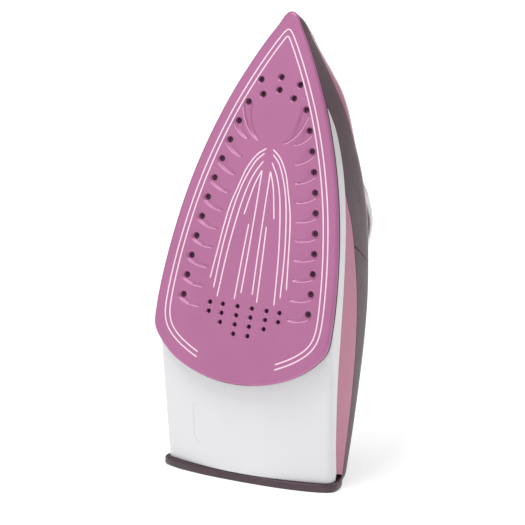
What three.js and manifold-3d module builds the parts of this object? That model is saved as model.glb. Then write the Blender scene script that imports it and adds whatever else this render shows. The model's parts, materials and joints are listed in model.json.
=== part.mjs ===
// Steam iron standing on its heel, nose up. Millimetres, +Z up, the soleplate faces -Y.
// Every piece is drawn upright first: x across, y up from the sole's working face towards the handle,
// z along the sole with the nose at the top. The whole is then leant back onto the heel plane.
import * as THREE from 'three';
import Module from 'manifold-3d';
import { mergeVertices } from 'three/addons/utils/BufferGeometryUtils.js';

const wasm = await Module();
wasm.setup();

// ---- driving dimensions ----
const LEAN = THREE.MathUtils.degToRad(14); // sole plane against the vertical when standing
const FLOOR_CENTRE = 70; // height above the sole of the point that becomes the origin
const NOSE = 288.5; // sole nose above the heel corner
const SOLE_LENGTH = 223;
const FACE_THICK = 2.2;
const CASTING_BASE = 2.5;
const CASTING_TOP = 12;
const HOLE_R = 1.6;
const REAR_HOLE_R = 1.3;
const CHANNEL_DEPTH = 0.7;
const GAP = 0.3; // clearance between neighbouring pieces
const SKIN = 2.2; // wall of the outer shells
const PANEL = 1.7; // wall of the dark trim panels
const TANK_SIDE = 4.4; // tank cavity below the outer surface
const TANK_TOP = 6.2;
const DECK = 3;
const TANK_FLOOR = 24.5;
const HEEL_THICK = 5;
const DIAL = { z: 128, r: 23, bottom: 69.4, top: 79, shaftR: 3 };
const VALVE = { z: 199, rodR: 1.6 };
const SELECTOR = { y: 88, z: 213.6, travel: 8 };
const BUTTONS = { burst: 150, spray: 168.5 };
const LAMP_Z = 134;
const NOZZLE = { y: 75, z: 207.8 };
const RIM_TOP = 4.6; // the casting is wider below this height, under the edge of the skirt
const CASTING_INSET = 4.2;
const LID = { hinge: [54.9, 250.5], half: 8.6, length: 22, mouthZ: 237, well: 2.1 };
const GLAND = { y: 110.6, z: 52.5, tilt: Math.atan2(0.48, 0.88) };
const HALF_SPAN = 90;

// half outline of the sole: half width, distance from the nose
const SOLE_HALF = [
  [2.6, 1.0], [4.7, 3.6], [7.6, 8.9], [13.1, 17.8], [22.6, 35.5], [33.3, 59.2], [43.5, 88.8],
  [50.7, 118.3], [55.9, 153.8], [57.6, 183.4], [56.4, 196], [50.5, 204.1], [39.5, 213], [21, 220.4],
];
// half plan of the body at the level of the sole: half width, height along z
const BODY_HALF = [
  [0, 288], [2.4, 286.9], [4.6, 284.2], [7.4, 279.2], [12.8, 270.5], [22.3, 252.9], [33, 229.2],
  [43.2, 199.7], [50.4, 170.2], [55.6, 134.7], [57.4, 105], [57.4, 60], [56.8, 20], [56.4, -10],
];

const paints = {
  sole: [0xb4719c, 0.35, 0.3],
  casting: [0x5a3f57, 0.5, 0.6],
  white: [0xe6e5e8, 0.35, 0],
  tank: [0xc06a92, 0.15, 0],
  dark: [0x56424e, 0.2, 0],
  heel: [0x45323c, 0.55, 0],
  grip: [0x6a5560, 0.6, 0],
  steel: [0xb8bcc0, 0.3, 0.9],
  brass: [0xb59a52, 0.35, 0.9],
  rubber: [0x8d4a3e, 0.8, 0],
  black: [0x2a2427, 0.6, 0],
  button: [0xb98fa4, 0.3, 0],
  ceramic: [0xd8d2c4, 0.7, 0],
};

// ---- small helpers ----
function toSolid(geometry) {
  const bare = geometry.index ? geometry.toNonIndexed() : geometry.clone();
  bare.deleteAttribute('normal');
  bare.deleteAttribute('uv');
  const welded = mergeVertices(bare, 1e-4);
  return new wasm.Manifold(new wasm.Mesh({
    numProp: 3,
    vertProperties: new Float32Array(welded.attributes.position.array),
    triVerts: new Uint32Array(welded.index.array),
  }));
}

function toGeometry(solid) {
  const mesh = solid.getMesh();
  const geometry = new THREE.BufferGeometry();
  geometry.setAttribute('position', new THREE.BufferAttribute(new Float32Array(mesh.vertProperties), 3));
  geometry.setIndex(new THREE.BufferAttribute(new Uint32Array(mesh.triVerts), 1));
  return geometry.toNonIndexed();
}

// the main body of a cut piece, without any loose sliver left by the cut
function mainBody(solid) {
  const pieces = solid.decompose();
  return pieces.reduce((best, piece) => (piece.volume() > best.volume() ? piece : best));
}

const group = new THREE.Group();
group.name = 'clothes_iron';

function addPart(name, shape, paint) {
  const geometry = shape.isBufferGeometry ? shape.clone() : toGeometry(shape);
  geometry.rotateX(-LEAN);
  geometry.translate(0, -FLOOR_CENTRE / Math.cos(LEAN), 0);
  geometry.computeVertexNormals();
  const [color, roughness, metalness] = paint;
  const mesh = new THREE.Mesh(geometry, new THREE.MeshStandardMaterial({ color, roughness, metalness }));
  mesh.name = name;
  group.add(mesh);
}

// smooth curve through [position, value] knots given in rising order of position
function smooth(knots) {
  const slope = knots.map((knot, i) => {
    const before = knots[Math.max(0, i - 1)];
    const after = knots[Math.min(knots.length - 1, i + 1)];
    return (after[1] - before[1]) / (after[0] - before[0]);
  });
  return (at) => {
    const p = Math.min(Math.max(at, knots[0][0]), knots[knots.length - 1][0]);
    let i = 0;
    while (i < knots.length - 2 && p > knots[i + 1][0]) i += 1;
    const span = knots[i + 1][0] - knots[i][0];
    const s = (p - knots[i][0]) / span;
    const h = 3 * s * s - 2 * s * s * s;
    const rise = s * (1 - s) * (1 - s) * span * slope[i] - s * s * (1 - s) * span * slope[i + 1];
    return knots[i][1] * (1 - h) + knots[i + 1][1] * h + rise;
  };
}

// closed side-view outline of [z, y] points, carried through the whole width
function sideSlab(points, halfSpan = HALF_SPAN) {
  const shape = new THREE.Shape(points.map(([z, y]) => new THREE.Vector2(z, y)));
  const slab = new THREE.ExtrudeGeometry(shape, { depth: 2 * halfSpan, bevelEnabled: false, steps: 1 });
  slab.rotateY(-Math.PI / 2);
  slab.translate(halfSpan, 0, 0);
  return slab;
}

// outline of [x, z] points carried from y0 up to y1
function plate(shape, y0, y1) {
  const slab = new THREE.ExtrudeGeometry(shape, { depth: y1 - y0, bevelEnabled: false, curveSegments: 8 });
  slab.rotateX(Math.PI / 2);
  slab.translate(0, y1, 0);
  return slab;
}

function roundedRect(x0, x1, z0, z1, r, steps = 4) {
  const corners = [[x1 - r, z0 + r, -0.5], [x1 - r, z1 - r, 0], [x0 + r, z1 - r, 0.5], [x0 + r, z0 + r, 1]];
  const points = corners.flatMap(([x, z, start]) => Array.from({ length: steps + 1 }, (_, i) => {
    const angle = Math.PI * (start + (0.5 * i) / steps);
    return new THREE.Vector2(x + r * Math.cos(angle), z + r * Math.sin(angle));
  }));
  return new THREE.Shape(points);
}

function box(x0, x1, y0, y1, z0, z1) {
  const cuboid = new THREE.BoxGeometry(x1 - x0, y1 - y0, z1 - z0);
  cuboid.translate((x0 + x1) / 2, (y0 + y1) / 2, (z0 + z1) / 2);
  return cuboid;
}

// turned piece with its axis along y at (x, z); profile of [radius, y] points
function turned(x, z, profile, segments = 20) {
  const points = profile.map(([r, y]) => new THREE.Vector2(r, y));
  points.push(points[0].clone());
  const lathe = new THREE.LatheGeometry(points, segments);
  lathe.translate(x, 0, z);
  return lathe;
}

function rod(x, z, radius, y0, y1, segments = 16) {
  const cylinder = new THREE.CylinderGeometry(radius, radius, y1 - y0, segments);
  cylinder.translate(x, (y0 + y1) / 2, z);
  return cylinder;
}

// round bar of the given radius along a smooth line through [x, y, z] points
function bar(points, radius, steps = 24, sides = 8) {
  const path = new THREE.CatmullRomCurve3(points.map((p) => new THREE.Vector3(...p)), false, 'centripetal');
  const rim = Array.from({ length: sides }, (_, i) => {
    const angle = (2 * Math.PI * i) / sides;
    return new THREE.Vector2(radius * Math.cos(angle), radius * Math.sin(angle));
  });
  return new THREE.ExtrudeGeometry(new THREE.Shape(rim), { steps, extrudePath: path, bevelEnabled: false });
}

// closed skin over rings of [x, y, z] points; each ring mirrors itself about its middle, so that
// point i faces point (last - i), and the two end caps are zipped across between those pairs
function ringLoft(rings) {
  const count = rings[0].length;
  const faces = [];
  for (let r = 0; r < rings.length - 1; r += 1) {
    for (let c = 0; c < count; c += 1) {
      const a = r * count + c;
      const b = r * count + ((c + 1) % count);
      faces.push([a, b, b + count], [a, b + count, a + count]);
    }
  }
  const top = (rings.length - 1) * count;
  for (let a = 0; a + 1 <= count - 2 - a; a += 1) {
    const b = a + 1;
    const c = count - 2 - a;
    const d = count - 1 - a;
    faces.push([b, a, d], [top + a, top + b, top + d]);
    if (b !== c) faces.push([b, d, c], [top + b, top + c, top + d]);
  }
  const points = rings.flat();
  const corner = (i) => new THREE.Vector3(...points[i]);
  let volume = 0;
  for (const [a, b, c] of faces) volume += corner(a).dot(corner(b).cross(corner(c)));
  const order = volume > 0 ? faces : faces.map(([a, b, c]) => [a, c, b]);
  const geometry = new THREE.BufferGeometry();
  geometry.setAttribute('position', new THREE.Float32BufferAttribute(points.flat(), 3));
  geometry.setIndex(order.flat());
  return geometry;
}

// ---- body surface ----
// shoulder height by height along z: where the side wall starts to round over into the top
const shoulder = smooth([[20, 68], [60, 66], [100, 62.5], [146, 58.5], [194, 54.5], [229, 47], [288, 43]]);
const ROWS = [[0, 4, 0.6], [0.3, 0, 1.4], [0.62, 0, 2.6], [0.85, 0, 3.8], [1, 0, 5.2], [1, 3.6, 7.2],
  [1, 6.6, 11], [1, 8.4, 16], [1, 9, 22]];

const ROUGH_ROWS = ROWS.filter((row, i) => i % 2 === 0);

function bodyRing([base, lift, inset], side, top) {
  const half = BODY_HALF.map(([x, z]) => {
    const fromNose = NOSE - z;
    const fade = Math.min(1, x / 38);
    const y = base === 0 && side !== 0 ? lift - 1.5 : base * shoulder(z) + lift - (base === 1 ? top : 0);
    const setback = 0.012 * y * y * Math.max(0, 1 - fromNose / 60) ** 2;
    const inner = side * 1.3 * Math.max(0, 1 - fromNose / 50);
    return [x - inset * fade - side * Math.min(1, x / 25), y, z - setback - inner];
  });
  const right = half.slice(1).reverse();
  const left = half.slice(1).map(([x, y, z]) => [-x, y, z]);
  return [...right, half[0], ...left];
}

// body filled solid, drawn in by the given side and top thickness
function body(side = 0, top = side, rows = ROWS) {
  return toSolid(ringLoft(rows.map((row) => bodyRing(row, side, top))));
}

// ---- seams seen from the side: height above the sole by height along z ----
const skirtTop = smooth([[22, 50], [40, 40.5], [64, 30.5], [87, 23], [111, 18], [135, 15.5], [170, 16],
  [206, 17], [229, 13.5], [240, 8.6]]);
const trimBottom = smooth([[22, 61], [64, 54.5], [87, 49.5], [111, 43.5], [134, 37], [170, 27],
  [187, 22], [206, 19.2], [229, 15], [240, 9.4], [292, 8.2]]);
const bandTop = smooth([[128, 59.2], [170, 56.4], [206, 50], [229, 44], [250, 35], [270, 25], [292, 14]]);
const deckEdge = (z) => shoulder(z) + 2;
const heelLine = (y) => y * Math.tan(LEAN) + HEEL_THICK / Math.cos(LEAN) + GAP;

function samples(from, to, count) {
  return Array.from({ length: count + 1 }, (_, i) => from + ((to - from) * i) / count);
}

// everything between two seams, seen from the side; ends may slope: [z at the lower, z at the upper edge]
function between(low, high, start, end, margin, count = 14) {
  const lower = samples(start[0], end[0], count).map((z) => [z, low(z) + margin]);
  const upper = samples(start[1], end[1], count).map((z) => [z, high(z) - margin]);
  lower[0][0] += margin;
  upper[0][0] += margin;
  lower[count][0] -= margin;
  upper[count][0] -= margin;
  return toSolid(sideSlab([...lower, ...upper.reverse()]));
}

// everything above the heel plate
function aboveHeel() {
  return toSolid(sideSlab([[heelLine(-40), -40], [400, -40], [400, 200], [heelLine(200), 200]]));
}

// rear underside: a slope rising from the sole to the heel, lower in the middle than at the corners
function aboveUnderside(lift) {
  const slope = (z) => 13.4 + (78.5 - z) * 0.467 + lift;
  const sag = (z) => 10 + (78.5 - z) * 0.046;
  const side = [[-30, slope(-30)], [110, slope(110)], [320, slope(110)], [320, 120], [-30, 120]];
  const shape = new THREE.Shape(side.map(([z, y]) => new THREE.Vector2(z, y)));
  const slab = new THREE.ExtrudeGeometry(shape, { depth: 140, steps: 10, bevelEnabled: false });
  slab.rotateY(-Math.PI / 2);
  slab.translate(70, 0, 0);
  const place = slab.attributes.position;
  for (let i = 0; i < place.count; i += 1) {
    const across = Math.min(1, Math.abs(place.getX(i)) / 55);
    place.setY(i, place.getY(i) - sag(Math.min(110, place.getZ(i))) * (1 - across * across));
  }
  return toSolid(slab);
}

const soleCurve = new THREE.CatmullRomCurve3([
  new THREE.Vector3(0, 0, NOSE),
  ...SOLE_HALF.map(([x, t]) => new THREE.Vector3(x, 0, NOSE - t)),
  new THREE.Vector3(0, 0, NOSE - SOLE_LENGTH),
  ...SOLE_HALF.map(([x, t]) => new THREE.Vector3(-x, 0, NOSE - t)).reverse(),
], true, 'centripetal');

// sole outline as [x, z] points, drawn in by the given amount
function soleOutline(inset, count = 64) {
  const points = soleCurve.getPoints(count).slice(0, count);
  return points.map((p, i) => {
    const ahead = points[(i + 1) % count];
    const behind = points[(i + count - 1) % count];
    const along = new THREE.Vector2(ahead.x - behind.x, ahead.z - behind.z).normalize();
    return new THREE.Vector2(p.x + along.y * inset, p.z - along.x * inset);
  });
}

// a deeper outline, without the points that would cross the middle at the narrow nose
function innerOutline(inset) {
  const edge = soleOutline(0);
  return soleOutline(inset).filter((p, i) => i === 0 || (p.x * edge[i].x > 0 && Math.abs(p.x) > 0.5));
}

// ---- soleplate ----
const halfWidth = smooth(SOLE_HALF.slice(2, 11).map(([x, t]) => [t, x]));
const SIDE_HOLES = Array.from({ length: 11 }, (_, i) => {
  const t = 56.4 + 11.87 * i;
  return { x: halfWidth(t) - 13.2 - 0.31 * i, z: NOSE - t, order: i };
});
const NOSE_HOLES = [[0, 39.3], [12.8, 42.3], [0, 47], [10.1, 50.8]];
// rows of rear holes: distance from the nose, offsets from the middle
const REAR_ROWS = [
  [177, [4.7, 14.4, 22.9]], [182.4, [4.7, 14.4, 22.9]], [187.9, [4.7, 14.4]], [193.5, [4.7]],
];

function mirrored(x) {
  return x === 0 ? [0] : [x, -x];
}

function holeCentres() {
  const side = SIDE_HOLES.flatMap(({ x, z }) => mirrored(x).map((at) => [at, z, HOLE_R]));
  const nose = NOSE_HOLES.flatMap(([x, t]) => mirrored(x).map((at) => [at, NOSE - t, HOLE_R]));
  const rear = REAR_ROWS.flatMap(([t, row]) => (
    row.flatMap((x) => mirrored(x).map((at) => [at, NOSE - t, REAR_HOLE_R]))
  ));
  return [...side, ...nose, ...rear];
}

// comma-shaped steam channel from a side hole inwards and towards the heel
function channelOutline({ x, z, order }, sign) {
  const first = order === 0;
  const reach = 12 - 4.2 * Math.exp((1 - order) / 2.5);
  const drop = Math.max(4.8, 10 - 0.8 * order);
  const tail = first ? [x - 10.6, z - 21] : [x - reach, z - drop];
  const bend = first ? [x - 1.5, z - 15] : [(x + tail[0]) / 2 + 1.8, (z + tail[1]) / 2 - 1.6];
  const [from, over, to] = [[x, z], bend, tail].map((point) => new THREE.Vector2(...point));
  const line = new THREE.QuadraticBezierCurve(from, over, to);
  const edges = [[], []];
  for (let k = 0; k <= 3; k += 1) {
    const p = line.getPoint(k / 3);
    const along = line.getTangent(k / 3);
    const half = 3.1 - 2.2 * (k / 3);
    edges[0].push([p.x - along.y * half, p.y + along.x * half]);
    edges[1].push([p.x + along.y * half, p.y - along.x * half]);
  }
  const back = line.getTangent(0);
  const heading = Math.atan2(back.y, back.x);
  const round = [0.75, 1, 1.25].map((turn) => {
    const angle = heading + Math.PI * turn;
    return [x + 3.1 * Math.cos(angle), z + 3.1 * Math.sin(angle)];
  });
  return [...round, ...edges[1], ...edges[0].reverse()].map(([px, pz]) => new THREE.Vector2(sign * px, pz));
}

function soleFace() {
  const outline = new THREE.Shape(soleOutline(1));
  const bevel = { bevelEnabled: true, bevelThickness: 1, bevelSize: 1, bevelSegments: 1 };
  const slab = new THREE.ExtrudeGeometry(outline, { depth: FACE_THICK - 1, steps: 1, ...bevel });
  slab.rotateX(Math.PI / 2);
  slab.translate(0, FACE_THICK, 0);
  let face = toSolid(slab).intersect(toSolid(box(-80, 80, -5, FACE_THICK, 0, 300)));
  for (const [x, z, r] of holeCentres()) {
    face = face.subtract(toSolid(rod(x, z, r, -2, 4, r === HOLE_R ? 8 : 6)));
  }
  for (const hole of SIDE_HOLES) {
    for (const sign of [1, -1]) {
      const channel = plate(new THREE.Shape(channelOutline(hole, sign)), -1, CHANNEL_DEPTH);
      face = face.subtract(toSolid(channel));
    }
  }
  return face;
}

const SOLE_SCREWS = [98, 220];
const SHIELD_Y = 19.6;
const ELEMENT_Y = 9.2;
const ELEMENT_R = 3.2;
const elementLine = [
  [-17, 24, 88], [-17, 15, 90], [-18, ELEMENT_Y, 98], [-31, ELEMENT_Y, 140], [-27, ELEMENT_Y, 180],
  [-13, ELEMENT_Y, 222], [0, ELEMENT_Y, 234], [13, ELEMENT_Y, 222], [27, ELEMENT_Y, 180],
  [31, ELEMENT_Y, 140], [18, ELEMENT_Y, 98], [17, 15, 90], [17, 24, 88],
];

function chamberOutline(inset) {
  return roundedRect(-11 + inset, 11 - inset, 106 + inset, 212 - inset, 6);
}

function soleCasting() {
  let casting = toSolid(plate(new THREE.Shape(soleOutline(1.6)), CASTING_BASE, RIM_TOP));
  const block = new THREE.Shape(innerOutline(CASTING_INSET));
  casting = casting.add(toSolid(plate(block, RIM_TOP - 1, CASTING_TOP)));
  const middle = NOSE - SOLE_LENGTH / 2;
  const spread = soleOutline(0, 60).map((p) => new THREE.Vector2(0.8 * p.x, middle + 0.86 * (p.y - middle)));
  const recess = plate(new THREE.Shape(spread), CASTING_BASE - 1, CASTING_BASE + 1.4);
  casting = casting.subtract(toSolid(recess));
  casting = casting.subtract(toSolid(plate(chamberOutline(0), CASTING_BASE + 3, CASTING_TOP + 1)));
  for (const z of [118, 148, 178, 206]) {
    casting = casting.subtract(toSolid(rod(0, z, 2, 0, CASTING_TOP, 8)));
  }
  casting = casting.subtract(toSolid(bar(elementLine, ELEMENT_R + GAP, 32, 6)));
  for (const z of SOLE_SCREWS) {
    casting = casting.add(toSolid(rod(0, z, 3.8, CASTING_TOP - 0.5, SHIELD_Y - GAP, 16)));
    casting = casting.subtract(toSolid(rod(0, z, 1.6, 5.4, 30, 10)));
  }
  return casting;
}

// ---- outer shells ----
const standing = aboveHeel();
const bodyShape = body().intersect(standing);
const soleRoom = toSolid(plate(new THREE.Shape(soleOutline(1.2)), -5, RIM_TOP + GAP))
  .add(toSolid(plate(new THREE.Shape(innerOutline(CASTING_INSET - GAP)), -5, CASTING_TOP + GAP)));
const WATER_END = [[103.5, TANK_FLOOR], [62, 48], [62, 95]];

function shellOf(thickness, top = thickness) {
  return bodyShape.subtract(body(thickness, top));
}

// room cut into the body for a shell lying flush with its surface
function pocketOf(depth) {
  return body(-2).subtract(body(depth));
}

function lowerHousing() {
  const region = between(() => RIM_TOP + GAP, skirtTop, [-20, -20], [240, 240], GAP / 2, 16);
  const skin = bodyShape.intersect(aboveUnderside(0)).intersect(region);
  const room = body(SKIN, SKIN, ROUGH_ROWS).intersect(aboveUnderside(SKIN));
  return mainBody(skin.subtract(room).subtract(soleRoom));
}

function bandRegion(margin) {
  return between(trimBottom, bandTop, [140, 128], [292, 292], margin, 14);
}

function panelRegion(margin) {
  return between(trimBottom, deckEdge, [10, 18], [138, 126], margin, 7);
}

function deckRegion(margin) {
  return between(deckEdge, () => 110, [10, 10], [224, 224], margin, 9);
}

function noseBand() {
  return shellOf(PANEL).intersect(bandRegion(GAP / 2)).subtract(soleRoom);
}

function rearPanel(sign) {
  const side = toSolid(sign > 0 ? box(20, 90, -10, 100, 0, 300) : box(-90, -20, -10, 100, 0, 300));
  return shellOf(PANEL).intersect(panelRegion(GAP / 2)).intersect(side);
}

// where the tank is closed from above by its own lid, under the deck
function lidOpening(margin) {
  return toSolid(plate(roundedRect(-22 + margin, 22 - margin, 84 + margin, 184 - margin, 6), 40, 90));
}

function waterTank() {
  const above = between(skirtTop, () => 120, [-20, -20], [240, 240], GAP / 2, 16);
  const front = toSolid(box(-80, 80, skirtTop(240) + GAP / 2, 120, 239, 300));
  let tank = bodyShape.intersect(above.add(front)).subtract(soleRoom);
  const panelPocket = pocketOf(PANEL + GAP);
  tank = tank.subtract(panelPocket.intersect(bandRegion(-GAP / 2)));
  tank = tank.subtract(panelPocket.intersect(panelRegion(-GAP / 2)));
  tank = tank.subtract(pocketOf(DECK + GAP).intersect(deckRegion(-GAP / 2)));
  const inner = body(TANK_SIDE, TANK_TOP, ROUGH_ROWS);
  const water = toSolid(sideSlab([[300, TANK_FLOOR], ...WATER_END, [300, 95]]));
  const post = toSolid(rod(0, DIAL.z, 7, TANK_FLOOR - 1, 90, 20));
  const underFloor = TANK_FLOOR - SKIN;
  const below = [[300, -10], [300, underFloor], [102, underFloor], [59, 46.4], [59, 110], [-30, 110],
    [-30, -10]];
  tank = tank.subtract(inner.intersect(water).subtract(post));
  tank = tank.subtract(inner.intersect(toSolid(sideSlab(below))));
  tank = tank.subtract(toSolid(box(-30, 30, 48, 110, 20, 58.9)));
  tank = tank.subtract(lidOpening(0).subtract(post));
  tank = tank.subtract(toSolid(rod(0, DIAL.z, 4, 10, 110)));
  tank = tank.subtract(toSolid(rod(0, DIAL.z, 8.5, 61, 110, 20)));
  tank = tank.subtract(toSolid(rod(0, VALVE.z, 4, 10, TANK_FLOOR + 1)));
  tank = tank.subtract(toSolid(box(-7.5, 7.5, 40, 90, VALVE.z - 9.5, VALVE.z + 6)));
  tank = tank.subtract(lidSeat()).add(lidLugs());
  const [hingeY, hingeZ] = LID.hinge;
  tank = tank.subtract(toSolid(box(-5.1, 5.1, hingeY - 2.7, hingeY + 4, hingeZ - 6, hingeZ + 2.7)));
  return mainBody(tank.subtract(toSolid(rod(0, LID.mouthZ, 6.2, 40, 70, 20))));
}

function tankLid() {
  const layer = body(TANK_SIDE, DECK + 2 * GAP).subtract(body(TANK_SIDE + 1, DECK + GAP + 2));
  return layer.intersect(lidOpening(GAP)).subtract(toSolid(rod(0, DIAL.z, 8.5, 40, 110, 20)));
}

function deckCover() {
  let deck = shellOf(DECK).intersect(deckRegion(GAP / 2));
  deck = deck.subtract(toSolid(rod(0, DIAL.z, DIAL.shaftR + 1, 40, 110)));
  deck = deck.subtract(toSolid(rod(0, DIAL.z, DIAL.r + 2.6, DIAL.bottom - 0.8, 110, 40)));
  deck = deck.subtract(toSolid(plate(roundedRect(-9, 9, VALVE.z - 11, VALVE.z + 8, 4), 40, 110)));
  return deck.subtract(toSolid(plate(roundedRect(-18, 18, 27, 52, 5), 40, 110)));
}

function heelPlate() {
  const half = [
    [24, 33.6], [44, 37.8], [53, 42.5], [55.4, 47], [54, 58], [48.4, 72], [43.4, 87], [37, 98], [24, 103.5],
  ];
  const round = new THREE.CatmullRomCurve3([
    new THREE.Vector3(0, 32.4, 0),
    ...half.map(([x, y]) => new THREE.Vector3(x, y, 0)),
    new THREE.Vector3(0, 105, 0),
    ...half.map(([x, y]) => new THREE.Vector3(-x, y, 0)).reverse(),
  ], true, 'centripetal');
  const points = round.getPoints(44).slice(0, 44).map((p) => new THREE.Vector2(p.x, p.y));
  const bevel = { bevelEnabled: true, bevelThickness: 1, bevelSize: 1, bevelOffset: -1, bevelSegments: 1 };
  const shape = new THREE.Shape(points);
  const heel = new THREE.ExtrudeGeometry(shape, { depth: HEEL_THICK - 2, steps: 1, ...bevel });
  heel.translate(0, 0, 1);
  heel.rotateX(LEAN);
  return heel;
}

// ---- handle ----
// stations from the front pillar to the heel: y, z, half width, half depth
const HANDLE = [
  [48, 203, 17, 15], [76, 200, 15.5, 14.4], [95, 194.5, 14.8, 14], [109, 185.5, 16, 14],
  [116.6, 172, 17.8, 14.4], [118, 150, 16.2, 13.2], [115.6, 118, 16.8, 12.6], [112.4, 92, 17.8, 13.2],
  [105, 69, 21, 15],
  [94, 48, 28, 18], [85, 28, 36, 20], [79, 6, 41, 21.5],
];
const handlePath = new THREE.CatmullRomCurve3(HANDLE.map(([y, z]) => new THREE.Vector3(0, y, z)));

function handleStation(u) {
  const at = u * (HANDLE.length - 1);
  const i = Math.min(HANDLE.length - 2, Math.floor(at));
  const f = at - i;
  const ease = f * f * (3 - 2 * f);
  const centre = handlePath.getPoint(u);
  const along = handlePath.getTangent(u);
  return {
    centre,
    normal: new THREE.Vector3(0, -along.z, along.y),
    across: HANDLE[i][2] * (1 - ease) + HANDLE[i + 1][2] * ease,
    deep: HANDLE[i][3] * (1 - ease) + HANDLE[i + 1][3] * ease,
  };
}

const HANDLE_STEPS = 17;
const HANDLE_SIDES = 16;

function handleSolid(inset) {
  const rings = samples(0, 1, HANDLE_STEPS).map((u) => {
    const { centre, normal, across, deep } = handleStation(u);
    return Array.from({ length: HANDLE_SIDES }, (_, k) => {
      const angle = (2 * Math.PI * (k + 0.5)) / HANDLE_SIDES;
      const s = Math.sin(angle);
      const c = Math.cos(angle);
      const x = (across - inset) * Math.sign(s) * Math.abs(s) ** 0.82;
      const n = (deep - inset) * Math.sign(c) * Math.abs(c) ** 0.82;
      return [x, centre.y + normal.y * n, centre.z + normal.z * n];
    });
  });
  return toSolid(ringLoft(rings));
}

// everything on the outer side of the handle's centre line, moved outwards by shift
function outerSide(shift) {
  const line = samples(0, 1, HANDLE_STEPS).map((u) => {
    const { centre, normal } = handleStation(u);
    return [centre.z + normal.z * shift, centre.y + normal.y * shift];
  });
  return toSolid(sideSlab([...line, [-60, 79], [-60, 220], [330, 220], [330, 48]]));
}

function rearCoverRegion(margin) {
  const joint = [[84 - margin, 40], [84 - margin, 112], [74 - margin, 160]];
  return toSolid(sideSlab([...joint, [-40, 160], [-40, 40]]));
}

const handleHollow = handleSolid(SKIN + 0.2);
const handleShell = handleSolid(0).subtract(handleHollow).intersect(standing).subtract(body(-GAP));

function buttonRoom(z, grow) {
  return toSolid(plate(roundedRect(-9 - grow, 9 + grow, z - 7.5 - grow, z + 7.5 + grow, 4), 100, 150));
}

function handleUpper() {
  let upper = handleShell.intersect(outerSide(GAP / 2)).subtract(rearCoverRegion(0));
  for (const z of [BUTTONS.burst, BUTTONS.spray]) upper = upper.subtract(buttonRoom(z, GAP));
  const { y, z, travel } = SELECTOR;
  const slot = box(-4.3, 4.3, y - 4, y + travel + 4, z - 11, z + 12);
  upper = upper.subtract(toSolid(slot));
  const nozzleHole = new THREE.CylinderGeometry(3.4, 3.4, 30, 16);
  nozzleHole.rotateX(Math.PI / 2);
  nozzleHole.translate(0, NOZZLE.y, NOZZLE.z + 11);
  upper = upper.subtract(toSolid(nozzleHole));
  return upper.subtract(toSolid(rod(0, LAMP_Z, 3.3, 110, 150)));
}

function handleLower() {
  return handleShell.subtract(outerSide(-GAP / 2));
}

function rearCover() {
  const region = rearCoverRegion(GAP);
  let cover = handleShell.intersect(outerSide(GAP / 2)).intersect(region);
  const bore = new THREE.CylinderGeometry(6.6, 6.6, 60, 16);
  const seat = lathed([[0, 2.3], [9.9, 2.3], [9.9, 20], [0, 20]]);
  return cover.subtract(toSolid(alongGland(bore, 0))).subtract(toSolid(alongGland(seat, 0)));
}

// piece modelled along +y about the origin, moved onto the cord inlet's axis
function alongGland(geometry, offset) {
  geometry.translate(0, offset, 0);
  geometry.rotateX(-GLAND.tilt);
  geometry.translate(0, GLAND.y, GLAND.z);
  return geometry;
}

function lathed(profile, segments = 16) {
  const points = profile.map(([r, y]) => new THREE.Vector2(r, y));
  points.push(points[0].clone());
  return new THREE.LatheGeometry(points, segments);
}

function cordGland() {
  const profile = [[3.4, -7], [8.4, -7], [8.4, -4.4], [6.1, -4.4], [6.1, 3], [5.9, 8], [5.2, 13], [3.4, 13]];
  return alongGland(lathed(profile), 0);
}

function glandCollar() {
  return alongGland(lathed([[6.5, 2.6], [9.6, 2.6], [9.2, 4.6], [6.9, 5.4], [6.5, 5.4]]), 0);
}

// ---- filler ----
function lidSeat() {
  const [y, z] = LID.hinge;
  return toSolid(box(-LID.half - 0.6, LID.half + 0.6, y - LID.well, y + 20, z - LID.length - 0.6, z + 2.4));
}

function lidLugs() {
  const [y, z] = LID.hinge;
  let lugs = toSolid(box(5.4, 8.4, y - 8, y + 1.6, z - 1.8, z + 1.8));
  lugs = lugs.add(toSolid(box(-8.4, -5.4, y - 8, y + 1.6, z - 1.8, z + 1.8)));
  return lugs.subtract(toSolid(hingeBar(1.15, 40)));
}

function hingeBar(radius, length) {
  const [y, z] = LID.hinge;
  const pin = new THREE.CylinderGeometry(radius, radius, length, 16);
  pin.rotateZ(Math.PI / 2);
  pin.translate(0, y, z);
  return pin;
}

function fillerLid() {
  const [y, z] = LID.hinge;
  const cover = roundedRect(-LID.half, LID.half, z - LID.length, z - 3.4, 4);
  let lid = toSolid(plate(cover, y + 0.2, y + 2.4));
  lid = lid.add(toSolid(box(-4.8, 4.8, y - 0.2, y + 2.2, z - 5, z)));
  lid = lid.add(toSolid(hingeBar(2.1, 9.6)));
  lid = lid.add(toSolid(rod(0, LID.mouthZ, 4.6, y - 0.1, y + 1, 20)));
  return lid.subtract(toSolid(hingeBar(1.3, 30)));
}

function fillerNeck() {
  const [y] = LID.hinge;
  return turned(0, LID.mouthZ, [[5, 44], [5.9, 44], [5.9, y - 0.3], [5, y - 0.3]], 24);
}

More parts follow.
